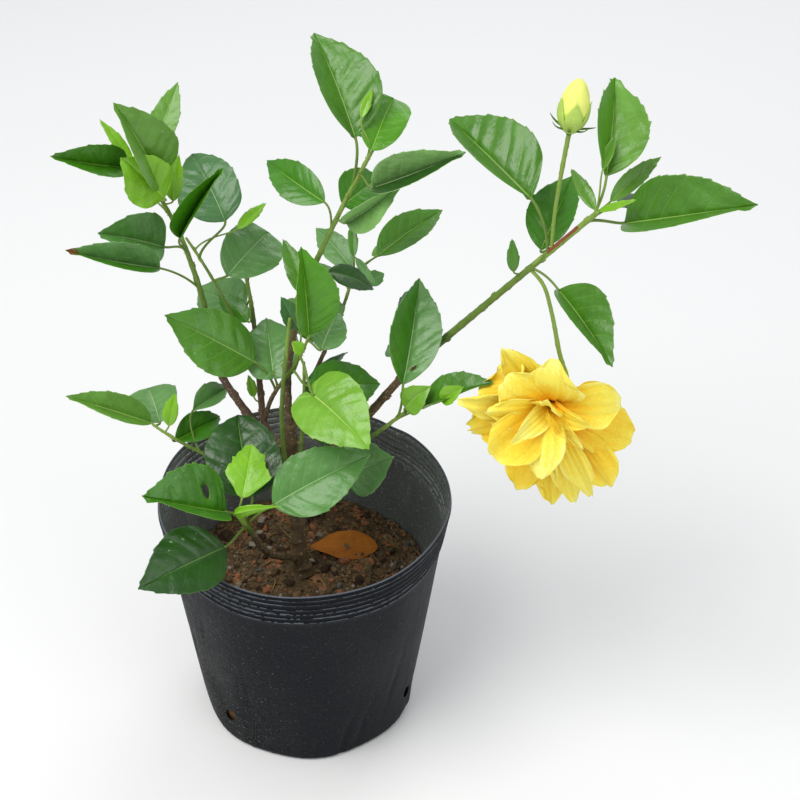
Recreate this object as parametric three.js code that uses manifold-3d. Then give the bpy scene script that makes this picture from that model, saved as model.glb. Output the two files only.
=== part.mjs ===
// Hibiscus shrub in its soft black nursery pot.
// Millimetres, +Z up, origin at the centre of the pot's flat underside.
// Angles are in degrees: an azimuth turns from +X towards +Y, a rise is measured up from level.
import * as THREE from 'three';
import { mergeVertices } from 'three/addons/utils/BufferGeometryUtils.js';
import Module from 'manifold-3d';

const wasm = await Module();
wasm.setup();

// ---------------------------------------------------------------- driving dimensions
const POT = {
  height: 195, rimR: 105, baseR: 81, wall: 1.7, floor: 1.8, baseRound: 5,
  rimOval: 0.012, rimOvalAt: -30,     // the soft rim is a little out of round
  baseFacets: 0.018,                  // the soft base is a little polygonal
};
const HOLES = { at: [22, 76, 130, 182, 229, 334], up: 30, wide: 9, tall: 15, lean: 26 };
const SOIL = { level: 112, clear: 0.3, relief: 2.2, calm: 16 };
const GAP = 0.3;                      // between touching pieces
const STEPS = 24;                     // stations on a limb's line

// limb: from a parent at a fraction of its length, its own length, radius at each end,
// and its heading [azimuth, rise] at evenly spaced stations.
const LIMBS = {
  trunk: { foot: [-4, 6], length: 134, r: [5.6, 4.5], flare: 0.6, way: [[144, 87], [113, 82], [109, 86]] },
  centre_bough: { from: 'trunk', at: 1.00, length: 242, r: [2.8, 1.2], way: [[-48, 95], [-33, 78], [-12, 68], [-5, 65]] },
  left_bough: { from: 'trunk', at: 0.82, length: 225, r: [3.2, 1.3], way: [[158, 26], [161, 56], [136, 83], [174, 76], [-154, 68]] },
  back_left_bough: { from: 'trunk', at: 0.78, length: 148, r: [3.0, 1.1], way: [[149, 25], [104, 72], [104, 72], [128, 71]] },
  left_inner_shoot: { from: 'back_left_bough', at: 0.49, length: 121, r: [1.4, 0.9], way: [[-176, 73], [-180, 69], [-176, 63]] },
  front_shoot: { from: 'back_left_bough', at: 0.23, length: 110, r: [1.7, 1.0], way: [[-57, 72], [-39, 58], [-44, 67]] },
  right_bough: { from: 'trunk', at: 0.70, length: 326, r: [3.4, 1.7], way: [[18, 23], [-3, 57], [-21, 52], [-24, 52], [-23, 52]] },
  flower_stalk: { from: 'right_bough', at: 0.79, length: 76, r: [1.2, 1.6], way: [[-30, -30], [-48, -66], [-51, -71], [-31, -66]] },
  bud_stalk: { from: 'right_bough', at: 0.86, length: 84, r: [1.1, 1.5], way: [[125, 88], [22, 85], [21, 83]] },
  upright_shoot: { from: 'trunk', at: 0.63, length: 150, r: [1.9, 1.2], way: [[-135, 70], [-122, 89], [-1, 84], [36, 82]] },
  inner_right_shoot: { from: 'trunk', at: 0.56, length: 127, r: [1.8, 1.0], way: [[-32, 79], [-38, 83], [-54, 84], [-93, 86]] },
  right_low_shoot: { from: 'trunk', at: 0.56, length: 126, r: [2.0, 1.2], way: [[-18, 50], [-12, 47], [-21, 50]] },
  back_bough: { from: 'trunk', at: 0.90, length: 132, r: [1.9, 1.0], way: [[74, 46], [49, 51], [31, 65], [24, 75]] },
  left_low_shoot: { from: 'trunk', at: 0.65, length: 112, r: [1.8, 1.0], way: [[-172, 26], [-166, 23], [176, 30], [170, 36]] },
  front_low_shoot: { from: 'trunk', at: 0.12, length: 133, r: [2.8, 1.8], way: [[-136, 30], [-107, 60], [-110, 59]] },
};

// mass of foliage: the limb it grows on, the stretch of limb its core covers, and its lobes as
// [fraction along the limb, azimuth, rise, reach, width, turn about its own line].
const MASSES = {
  left_top_foliage: { on: 'left_bough', core: [0.93, 1.0], ends: true, lobes: [
    [0.98, 124, 33, 79, 44, -20], [0.99, -138, 38, 99, 40, -43], [0.98, 84, 43, 84, 30, 14],
    [0.97, -140, 55, 56, 22, -63], [0.96, -6, 73, 40, 17, 90], [1.0, 141, 36, 66, 14, -30]] },
  left_middle_foliage: { on: 'left_bough', core: [0.62, 0.84], lobes: [
    [0.78, -14, 69, 76, 30, 80], [0.8, -151, 29, 69, 36, -33], [0.66, -156, 30, 102, 36, -51]] },
  left_inner_foliage: { on: 'left_inner_shoot', core: [0.62, 1.0], ends: true, lobes: [
    [0.85, 98, 48, 71, 38, -7], [0.68, 48, 14, 55, 40, 29], [0.91, 32, 20, 59, 13, 34]] },
  back_left_foliage: { on: 'back_left_bough', core: [0.8, 1.0], ends: true, lobes: [
    [0.98, 41, 38, 24, 13, 32], [0.85, 149, -8, 46, 28, -23], [0.93, 70, 22, 60, 40, 0]] },
  left_low_foliage: { on: 'front_shoot', core: [0.3, 0.46], lobes: [
    [0.37, -176, 43, 99, 44, -42], [0.41, 81, 34, 49, 40, 24]] },
  front_middle_foliage: { on: 'front_shoot', core: [0.58, 1.0], ends: true, lobes: [
    [0.8, -54, -16, 87, 44, 28], [0.65, 9, -17, 64, 38, 23], [0.97, 54, 9, 33, 26, 19], [1.0, 97, 32, 67, 42, -3]] },
  centre_middle_foliage: { on: 'centre_bough', core: [0.32, 0.58], lobes: [
    [0.35, -148, 72, 31, 13, -89], [0.44, 110, 38, 49, 24, -10], [0.55, 19, -22, 48, 24, 26]] },
  centre_upper_foliage: { on: 'centre_bough', core: [0.69, 0.83], lobes: [
    [0.73, 136, 23, 66, 38, -34], [0.76, -24, 40, 60, 32, 52], [0.81, 57, -3, 45, 26, 25]] },
  centre_top_foliage: { on: 'centre_bough', core: [0.87, 1.0], ends: true, lobes: [
    [0.89, 114, 51, 102, 44, -17], [0.99, 65, 22, 45, 40, 25], [0.98, 90, 58, 38, 12, 10], [0.92, -22, 25, 77, 36, 53]] },
  back_foliage: { on: 'back_bough', core: [0.82, 1.0], ends: true, lobes: [
    [1.0, 125, 16, 49, 30, 60], [0.99, 92, 58, 36, 12, 0], [1.0, 29, 24, 79, 38, 35], [0.97, 8, 5, 23, 11, 35], [0.88, 80, -4, 52, 36, 0]] },
  right_low_foliage: { on: 'right_low_shoot', core: [0.82, 1.0], ends: true, lobes: [
    [0.92, 76, 54, 97, 42, 9], [0.98, -24, 56, 35, 16, 69], [0.88, -16, 34, 85, 32, 40], [0.99, -12, 35, 48, 12, 55]] },
  right_inner_foliage: { on: 'right_low_shoot', core: [0.42, 0.54], lobes: [
    [0.47, -47, 26, 62, 34, 36]] },
  bloom_side_foliage: { on: 'right_bough', core: [0.755, 0.80], lobes: [
    [0.775, -57, -12, 94, 44, 25]] },
  right_upper_foliage: { on: 'right_bough', core: [0.82, 0.9], lobes: [
    [0.84, 132, 31, 111, 54, -36], [0.86, 78, 20, 62, 34, 7]] },
  right_tip_foliage: { on: 'right_bough', core: [0.93, 1.0], ends: true, lobes: [
    [0.98, 78, 48, 88, 42, 2], [0.99, 42, 18, 60, 16, 27], [0.96, -27, 22, 113, 48, 39], [0.99, 115, 24, 36, 16, -26]] },
  left_tip_foliage: { on: 'left_low_shoot', core: [0.62, 1.0], ends: true, lobes: [
    [0.97, -165, 33, 72, 34, -35], [0.98, 105, 9, 39, 30, -7], [0.91, 44, 70, 32, 14, 39], [0.84, 45, -6, 46, 30, 29], [0.66, 75, 14, 58, 28, 17]] },
  front_low_foliage: { on: 'front_low_shoot', core: [0.74, 1.0], ends: true, lobes: [
    [0.84, 98, 43, 76, 48, -2], [0.97, 78, 45, 49, 28, 13], [0.97, -153, 33, 77, 50, -48],
    [0.93, -31, 37, 43, 22, 51], [0.79, -132, 8, 98, 44, -35], [0.79, 1, 37, 105, 48, 48]] },
};
const LOBE = { thick: 7, tuck: 3, neck: 0.3, coreR: 3.6, bend: 0.07, rough: 0.07 };

const BLOOM = { centre: [168, -38, 293], radii: [52, 33, 47], lean: -30, ruffle: 0.09, ruffles: 7 };
const BUD = { r: 10.5, length: 36.5 };

// ---------------------------------------------------------------- materials
const finish = {
  pot: new THREE.MeshStandardMaterial({ color: 0x22252b, roughness: 0.55, metalness: 0 }),
  soil: new THREE.MeshStandardMaterial({ color: 0x4a4430, roughness: 1, metalness: 0 }),
  bark: new THREE.MeshStandardMaterial({ color: 0x6b5a3f, roughness: 0.85, metalness: 0 }),
  shoot: new THREE.MeshStandardMaterial({ color: 0x7d9142, roughness: 0.6, metalness: 0 }),
  leaf: new THREE.MeshStandardMaterial({ color: 0x6a9542, roughness: 0.5, metalness: 0 }),
  petal: new THREE.MeshStandardMaterial({ color: 0xfcea56, roughness: 0.7, metalness: 0 }),
  bud: new THREE.MeshStandardMaterial({ color: 0xc8dc52, roughness: 0.6, metalness: 0 }),
};

// ---------------------------------------------------------------- helpers
const rad = THREE.MathUtils.degToRad;
const smooth = (t) => { const k = Math.min(1, Math.max(0, t)); return k * k * (3 - 2 * k); };
const heading = ([az, rise]) => new THREE.Vector3(
  Math.cos(rad(rise)) * Math.cos(rad(az)), Math.cos(rad(rise)) * Math.sin(rad(az)), Math.sin(rad(rise)));
const wobble = (a, b, c) => Math.sin(a * 1.7 + b * 2.3 + 0.4) * Math.cos(b * 1.3 - c * 2.1) + 0.5 * Math.sin(c * 3.1 + a * 2.9);

function toSolid(geometry) {
  const g = geometry.index ? geometry.clone() : geometry;
  g.deleteAttribute('normal'); g.deleteAttribute('uv');
  const m = mergeVertices(g, 1e-4);
  return new wasm.Manifold(new wasm.Mesh({
    numProp: 3,
    vertProperties: new Float32Array(m.attributes.position.array),
    triVerts: new Uint32Array(m.index.array),
  }));
}
function toGeometry(solid) {
  const m = solid.getMesh();
  const g = new THREE.BufferGeometry();
  g.setAttribute('position', new THREE.BufferAttribute(new Float32Array(m.vertProperties), 3));
  g.setIndex(new THREE.BufferAttribute(new Uint32Array(m.triVerts), 1));
  g.computeVertexNormals();
  return g;
}
const tidy = (solid) => solid.simplify(0.25);
const largest = (solid) => solid.decompose().reduce((a, b) => (b.volume() > a.volume() ? b : a));

// ---------------------------------------------------------------- limbs
const lines = {};
function limbLine(name) {
  const L = LIMBS[name], n = STEPS, k = L.way.length - 1;
  const start = L.from ? pointOn(L.from, L.at) : new THREE.Vector3(L.foot[0], L.foot[1], SOIL.level);
  const way = L.way.map(heading), pts = [start];
  for (let i = 0; i < n; i++) {
    const t = (i + 0.5) / n * k, j = Math.min(Math.floor(t), k - 1);
    const dir = way[j].clone().lerp(way[j + 1], smooth(t - j)).normalize();
    pts.push(pts[i].clone().addScaledVector(dir, L.length / n));
  }
  return pts;
}
function pointOn(name, f) {
  const pts = lines[name], t = f * (pts.length - 1), j = Math.min(Math.floor(t), pts.length - 2);
  return pts[j].clone().lerp(pts[j + 1], t - j);
}
for (const name of Object.keys(LIMBS)) lines[name] = limbLine(name);

// tapered round limb: a cylinder bent along its line between two fractions
function limbGeometry(name, from, to, grow = 0, sides = 6, steps = 12, fixedR = 0) {
  const L = LIMBS[name];
  const g = new THREE.CylinderGeometry(1, 1, 1, sides, steps, false);
  const p = g.attributes.position;
  const rows = [];
  let side = new THREE.Vector3(1, 0, 0);
  for (let i = 0; i <= steps; i++) {
    const f = from + (to - from) * i / steps;
    const c = pointOn(name, f);
    const t = pointOn(name, Math.min(1, f + 0.03)).sub(pointOn(name, Math.max(0, f - 0.03))).normalize();
    if (L.foot && i === 0) t.set(0, 0, 1);          // flat cut at ground level
    side = side.clone().addScaledVector(t, -side.dot(t)).normalize();
    const other = side.clone().cross(t);            // side, t, other: right-handed
    let r = THREE.MathUtils.lerp(L.r[0], L.r[1], f);
    if (L.flare) r *= 1 + L.flare * Math.exp(-f * L.length / 7);
    if (fixedR) r += fixedR;
    rows.push({ c, side, other, r: r + grow });
  }
  for (let i = 0; i < p.count; i++) {
    const row = rows[Math.round((p.getY(i) + 0.5) * steps)];
    const v = row.c.clone().addScaledVector(row.side, p.getX(i) * row.r).addScaledVector(row.other, p.getZ(i) * row.r);
    p.setXYZ(i, v.x, v.y, v.z);
  }
  return g;
}

// ---------------------------------------------------------------- foliage
// a flat leafy lobe: a sphere drawn out along its line, narrow at the neck, bowed a little down
function lobeGeometry(limb, [f, az, rise, reach, width, turn], grow, seed) {
  const g = new THREE.SphereGeometry(1, width < 20 ? 4 : 6, 4);
  const p = g.attributes.position;
  const root = pointOn(limb, f);
  const along = heading([az, rise]);
  const flat0 = new THREE.Vector3(0, 0, 1).addScaledVector(along, -along.z).normalize();
  const up = flat0.clone().applyAxisAngle(along, rad(turn));
  const across = along.clone().cross(up);
  const up2 = across.clone().cross(along);
  for (let i = 0; i < p.count; i++) {
    const x = p.getX(i), y = p.getY(i), z = p.getZ(i), u = (1 - y) / 2;     // u: 0 at the limb, 1 at the tip
    const w = (LOBE.neck + (1 - LOBE.neck) * smooth(u / 0.5)) * (1 + LOBE.rough * wobble(x * 2, u * 5, z * 2 + seed));
    const v = root.clone()
      .addScaledVector(along, u * (reach + LOBE.tuck) - LOBE.tuck + (u > 0.5 ? grow : -grow))
      .addScaledVector(across, x * (width / 2 * w + grow))
      .addScaledVector(up2, z * (LOBE.thick / 2 * (0.55 + 0.45 * w) + grow) - LOBE.bend * reach * (u * u - 0.35 * u));
    p.setXYZ(i, v.x, v.y, v.z);
  }
  // the frame (across, along, up) decides the winding
  if (across.clone().cross(along).dot(up2) < 0) flip(g);
  return g;
}
function flip(g) {
  const a = g.index.array;
  for (let i = 0; i < a.length; i += 3) { const t = a[i + 1]; a[i + 1] = a[i + 2]; a[i + 2] = t; }
}
function outward(solidOf, g) {
  let s = solidOf(g);
  if (s.volume() < 0) { flip(g); s = solidOf(g); }
  return s;
}
function massSolid(name, grow) {
  const M = MASSES[name];
  let s = toSolid(limbGeometry(M.on, M.core[0] - grow * 0.001, M.core[1], grow, 6, 2, LOBE.coreR));
  M.lobes.forEach((row, i) => { s = s.add(outward(toSolid, lobeGeometry(M.on, row, grow, i + M.core[0] * 9))); });
  return s;
}

// ---------------------------------------------------------------- bloom and bud
function bloomGeometry(grow) {
  const g = new THREE.SphereGeometry(1, 12, 8);
  const p = g.attributes.position;
  for (let i = 0; i < p.count; i++) {
    const v = new THREE.Vector3(p.getX(i), p.getY(i), p.getZ(i));
    const a = Math.atan2(v.z, v.x), ring = Math.hypot(v.x, v.z);
    const k = 1 + BLOOM.ruffle * ring * Math.sin(a * BLOOM.ruffles) * Math.cos(v.y * 5) + 0.05 * wobble(v.x * 2, v.y * 2, v.z * 2);
    v.multiplyScalar(k);
    v.set(v.x * (BLOOM.radii[0] + grow), v.y * (BLOOM.radii[1] + grow), v.z * (BLOOM.radii[2] + grow));
    v.applyAxisAngle(new THREE.Vector3(1, 0, 0), rad(BLOOM.lean));
    p.setXYZ(i, v.x + BLOOM.centre[0], v.y + BLOOM.centre[1], v.z + BLOOM.centre[2]);
  }
  return g;
}
function budGeometry() {
  const r = BUD.r, L = BUD.length, prof = [];
  const shape = [[0, 0], [0.03, 0.3], [0.16, 0.72], [0.34, 0.95], [0.5, 1], [0.66, 0.88], [0.82, 0.6], [0.94, 0.28], [1, 0]];
  for (const [u, w] of shape) prof.push(new THREE.Vector2(w * r, u * L));
  const g = new THREE.LatheGeometry(prof, 8);
  const end = pointOn('bud_stalk', 1), dir = end.clone().sub(pointOn('bud_stalk', 0.92)).normalize();
  const m = new THREE.Matrix4().makeRotationFromQuaternion(new THREE.Quaternion().setFromUnitVectors(new THREE.Vector3(0, 1, 0), dir));
  g.applyMatrix4(m);
  end.addScaledVector(dir, GAP);
  g.translate(end.x, end.y, end.z);
  return g;
}

// ---------------------------------------------------------------- pot and soil
function potScale(angle, z) {
  const k = z / POT.height;
  const rim = POT.rimOval * Math.cos(2 * (angle - rad(POT.rimOvalAt))) * k * k;
  const base = -POT.baseFacets * (0.5 + 0.5 * Math.cos(angle * 7 + 0.6)) * (1 - k) ** 3;
  return 1 + rim + base;
}
const potR = (z) => THREE.MathUtils.lerp(POT.baseR, POT.rimR, z / POT.height);
function revolve(profile, segments) {
  const g = new THREE.LatheGeometry(profile.map(([r, z]) => new THREE.Vector2(r, z)), segments);
  const p = g.attributes.position;
  for (let i = 0; i < p.count; i++) {
    // the lathe turns about its own Y, which becomes +Z here
    const x = p.getZ(i), y = p.getX(i), z = p.getY(i);
    const k = potScale(Math.atan2(y, x), z);
    p.setXYZ(i, x * k, y * k, z);
  }
  return g;
}
function potSolid() {
  const { height: H, wall: w, floor: f, baseRound: b } = POT;
  const out = [], inn = [];
  out.push([0, 0], [POT.baseR - b, 0], [POT.baseR - b * 0.3, b * 0.3]);
  for (const z of [b, 70, 150, H - 1]) out.push([potR(z), z]);
  out.push([potR(H) - 0.4, H], [potR(H) - w + 0.3, H]);
  for (const z of [H - 1, 150, 70, b + f]) inn.push([potR(z) - w, z]);
  inn.push([POT.baseR - b - w * 0.4, f], [0, f]);
  let s = outward(toSolid, revolve([...out, ...inn], 28));
  for (let i = 0; i < HOLES.at.length; i++) {
    const a = rad(HOLES.at[i]);
    const oval = new THREE.Shape();
    oval.absellipse(0, 0, HOLES.wide / 2, HOLES.tall / 2, 0, Math.PI * 2, false, rad(HOLES.lean * (i % 2 ? 1 : -1)));
    const plug = new THREE.ExtrudeGeometry(oval, { depth: 24, bevelEnabled: false, curveSegments: 4 });
    plug.rotateX(Math.PI / 2); plug.rotateZ(Math.PI / 2);   // the oval's axis now lies along +X
    plug.rotateZ(a);
    const r = potR(HOLES.up) - 12;
    plug.translate(Math.cos(a) * r, Math.sin(a) * r, HOLES.up);
    s = s.subtract(outward(toSolid, plug));
  }
  return s;
}
function soilSolid(keepOut) {
  const { level: L, clear: c } = SOIL, w = POT.wall + c;
  const prof = [[0, POT.floor + c], [POT.baseR - POT.baseRound - w - 1, POT.floor + c], [potR(POT.baseRound + 4) - w, POT.baseRound + POT.floor + 3]];
  for (const z of [70, L - 1.5]) prof.push([potR(z) - w, z]);
  for (const r of [potR(L) - w - 3, 66, 42, SOIL.calm]) prof.push([r, L]);
  prof.push([0, L - GAP]);
  const g = revolve(prof, 28), p = g.attributes.position;
  for (let i = 0; i < p.count; i++) {
    if (p.getZ(i) < L - 1) continue;
    const x = p.getX(i), y = p.getY(i), d = Math.hypot(x - LIMBS.trunk.foot[0], y - LIMBS.trunk.foot[1]);
    const out = smooth((d - SOIL.calm) / 20);
    p.setZ(i, L - GAP + out * SOIL.relief * wobble(x / 15, y / 17, 1.3));
  }
  return largest(outward(toSolid, g).subtract(keepOut));
}

// ---------------------------------------------------------------- assembly
const shrub = new THREE.Group();
function add(name, solid, material) {
  const mesh = new THREE.Mesh(toGeometry(solid), material);
  mesh.name = name;
  shrub.add(mesh);
  return mesh;
}

add('pot', potSolid(), finish.pot);
const trunkFoot = toSolid(limbGeometry('trunk', 0, 1, GAP));
add('soil', soilSolid(trunkFoot), finish.soil);

// each limb stops where the mass at its end begins; the long right bough is split where it turns green
const pieces = [
  ['trunk', 'trunk', 0, 1, 'bark', 12],
  ['centre_bough', 'centre_bough', 0, MASSES.centre_top_foliage.core[0], 'bark', 14],
  ['left_bough', 'left_bough', 0, MASSES.left_top_foliage.core[0], 'bark', 14],
  ['back_left_bough', 'back_left_bough', 0, MASSES.back_left_foliage.core[0], 'bark', 10],
  ['left_inner_shoot', 'left_inner_shoot', 0, MASSES.left_inner_foliage.core[0], 'shoot', 6],
  ['front_shoot', 'front_shoot', 0, MASSES.front_middle_foliage.core[0], 'shoot', 6],
  ['right_bough', 'right_bough', 0, 0.4, 'bark', 8],
  ['right_branch', 'right_bough', 0.4, MASSES.right_tip_foliage.core[0], 'shoot', 10],
  ['upright_shoot', 'upright_shoot', 0, 1, 'shoot', 8],
  ['inner_right_shoot', 'inner_right_shoot', 0, 1, 'shoot', 8],
  ['right_low_shoot', 'right_low_shoot', 0, MASSES.right_low_foliage.core[0], 'shoot', 8],
  ['back_bough', 'back_bough', 0, MASSES.back_foliage.core[0], 'shoot', 8],
  ['left_low_shoot', 'left_low_shoot', 0, MASSES.left_tip_foliage.core[0], 'bark', 6],
  ['front_low_shoot', 'front_low_shoot', 0, MASSES.front_low_foliage.core[0], 'bark', 7],
  ['flower_stalk', 'flower_stalk', 0, 1, 'shoot', 7],
  ['bud_stalk', 'bud_stalk', 0, 1, 'shoot', 6],
];
let filled = null;                                       // everything placed so far, grown by the gap
const fill = (solid) => { filled = filled ? filled.add(solid) : solid; };
for (const [node, limb, a, b, mat, steps] of pieces) {
  let s = toSolid(limbGeometry(limb, a, b, 0, limb === 'trunk' ? 10 : 6, steps));
  if (filled) s = largest(tidy(s.subtract(filled)));
  add(node, s, finish[mat]);
  const end = b < 1 ? b + GAP / LIMBS[limb].length : 1;
  fill(toSolid(limbGeometry(limb, a, end, GAP, limb === 'trunk' ? 10 : 6, steps)));
}
add('bud', toSolid(budGeometry()).subtract(toSolid(limbGeometry('bud_stalk', 0.5, 1, GAP * 0.9))), finish.bud);
add('bloom', largest(outward(toSolid, bloomGeometry(0)).subtract(filled)), finish.petal);
fill(outward(toSolid, bloomGeometry(GAP + 0.2)));
fill(toSolid(budGeometry()));
for (const name of Object.keys(MASSES)) {
  const s = largest(tidy(massSolid(name, 0).subtract(filled)));
  add(name, s, finish.leaf);
  fill(massSolid(name, GAP));
}

export default shrub;
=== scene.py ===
# Hibiscus shrub in its soft black nursery pot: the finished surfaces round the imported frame.
# Lengths in the tables are millimetres, angles are degrees: an azimuth turns from +X towards +Y,
# a rise is measured up from level. Meshes are written in metres.
import math

import bpy
import numpy as np
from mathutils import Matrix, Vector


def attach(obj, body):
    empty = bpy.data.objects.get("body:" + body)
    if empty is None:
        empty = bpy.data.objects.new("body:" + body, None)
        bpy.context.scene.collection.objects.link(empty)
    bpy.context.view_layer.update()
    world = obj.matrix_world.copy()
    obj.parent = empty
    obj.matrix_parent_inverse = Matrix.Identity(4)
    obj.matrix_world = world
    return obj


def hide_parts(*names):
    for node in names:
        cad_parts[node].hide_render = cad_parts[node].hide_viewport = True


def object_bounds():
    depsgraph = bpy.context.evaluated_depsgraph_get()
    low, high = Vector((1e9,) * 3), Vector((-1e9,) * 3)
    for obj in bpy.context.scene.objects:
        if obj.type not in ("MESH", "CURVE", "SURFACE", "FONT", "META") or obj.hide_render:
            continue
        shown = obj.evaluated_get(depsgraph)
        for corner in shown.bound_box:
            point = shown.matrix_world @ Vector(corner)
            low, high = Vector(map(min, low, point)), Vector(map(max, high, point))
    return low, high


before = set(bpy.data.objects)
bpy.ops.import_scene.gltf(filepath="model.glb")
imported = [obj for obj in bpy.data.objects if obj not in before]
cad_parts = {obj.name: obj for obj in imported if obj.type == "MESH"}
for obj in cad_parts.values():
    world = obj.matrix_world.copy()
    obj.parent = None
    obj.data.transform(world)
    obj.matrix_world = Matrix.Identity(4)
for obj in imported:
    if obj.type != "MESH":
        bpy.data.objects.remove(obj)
CAD_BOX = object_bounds()
MM = 0.001

# ------------------------------------------------------------------ sizes, as in the design
POT = dict(height=195.0, rim=105.0, base=81.0, wall=1.3, floor=1.8, round=5.0, oval=0.012, oval_at=-30.0, facets=0.018)
HOLES = dict(at=[22, 76, 130, 182, 229, 334], up=30.0, wide=9.0, tall=15.0, lean=26.0)
SOIL_LEVEL = 112.0
STEPS = 24
LIMBS = {
    "trunk": dict(foot=(-4, 6), length=134, r=(5.6, 4.5), flare=0.6, way=[(144, 87), (113, 82), (109, 86)], bark=(2.0, 3.0)),
    "centre_bough": dict(on="trunk", at=1.00, length=242, r=(2.8, 1.2), way=[(-48, 95), (-33, 78), (-12, 68), (-5, 65)], bark=(0.22, 0.5)),
    "left_bough": dict(on="trunk", at=0.82, length=225, r=(3.2, 1.3), way=[(158, 26), (161, 56), (136, 83), (174, 76), (-154, 68)], bark=(0.36, 0.62)),
    "back_left_bough": dict(on="trunk", at=0.78, length=148, r=(3.0, 1.1), way=[(149, 25), (104, 72), (104, 72), (128, 71)], bark=(0.55, 0.9)),
    "left_inner_shoot": dict(on="back_left_bough", at=0.49, length=121, r=(1.4, 0.9), way=[(-176, 73), (-180, 69), (-176, 63)], bark=(0.1, 0.4)),
    "front_shoot": dict(on="back_left_bough", at=0.23, length=110, r=(1.7, 1.0), way=[(-57, 72), (-39, 58), (-44, 67)], bark=(0.3, 0.6)),
    "right_bough": dict(on="trunk", at=0.70, length=326, r=(3.4, 1.7), way=[(18, 23), (-3, 57), (-21, 52), (-24, 52), (-23, 52)], bark=(0.34, 0.62)),
    "flower_stalk": dict(on="right_bough", at=0.79, length=76, r=(1.2, 1.6), way=[(-30, -30), (-48, -66), (-51, -71), (-31, -66)], bark=(-1, 0)),
    "bud_stalk": dict(on="right_bough", at=0.86, length=84, r=(1.1, 1.5), way=[(125, 88), (22, 85), (21, 83)], bark=(-1, 0)),
    "upright_shoot": dict(on="trunk", at=0.63, length=150, r=(1.9, 1.2), way=[(-135, 70), (-122, 89), (-1, 84), (36, 82)], bark=(-1, 0)),
    "inner_right_shoot": dict(on="trunk", at=0.56, length=127, r=(1.8, 1.0), way=[(-32, 79), (-38, 83), (-54, 84), (-93, 86)], bark=(-1, 0)),
    "right_low_shoot": dict(on="trunk", at=0.56, length=126, r=(2.0, 1.2), way=[(-18, 50), (-12, 47), (-21, 50)], bark=(0.25, 0.55)),
    "back_bough": dict(on="trunk", at=0.90, length=132, r=(1.9, 1.0), way=[(74, 46), (49, 51), (31, 65), (24, 75)], bark=(0.6, 1.0)),
    "left_low_shoot": dict(on="trunk", at=0.65, length=112, r=(1.8, 1.0), way=[(-172, 26), (-166, 23), (176, 30), (170, 36)], bark=(0.2, 0.55)),
    "front_low_shoot": dict(on="trunk", at=0.12, length=133, r=(2.8, 1.8), way=[(-136, 30), (-107, 60), (-110, 59)], bark=(0.5, 0.9)),
}
# CAD nodes that each limb's finished skin stands for
LIMB_NODES = {"right_bough": ["right_bough", "right_branch"]}

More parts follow.
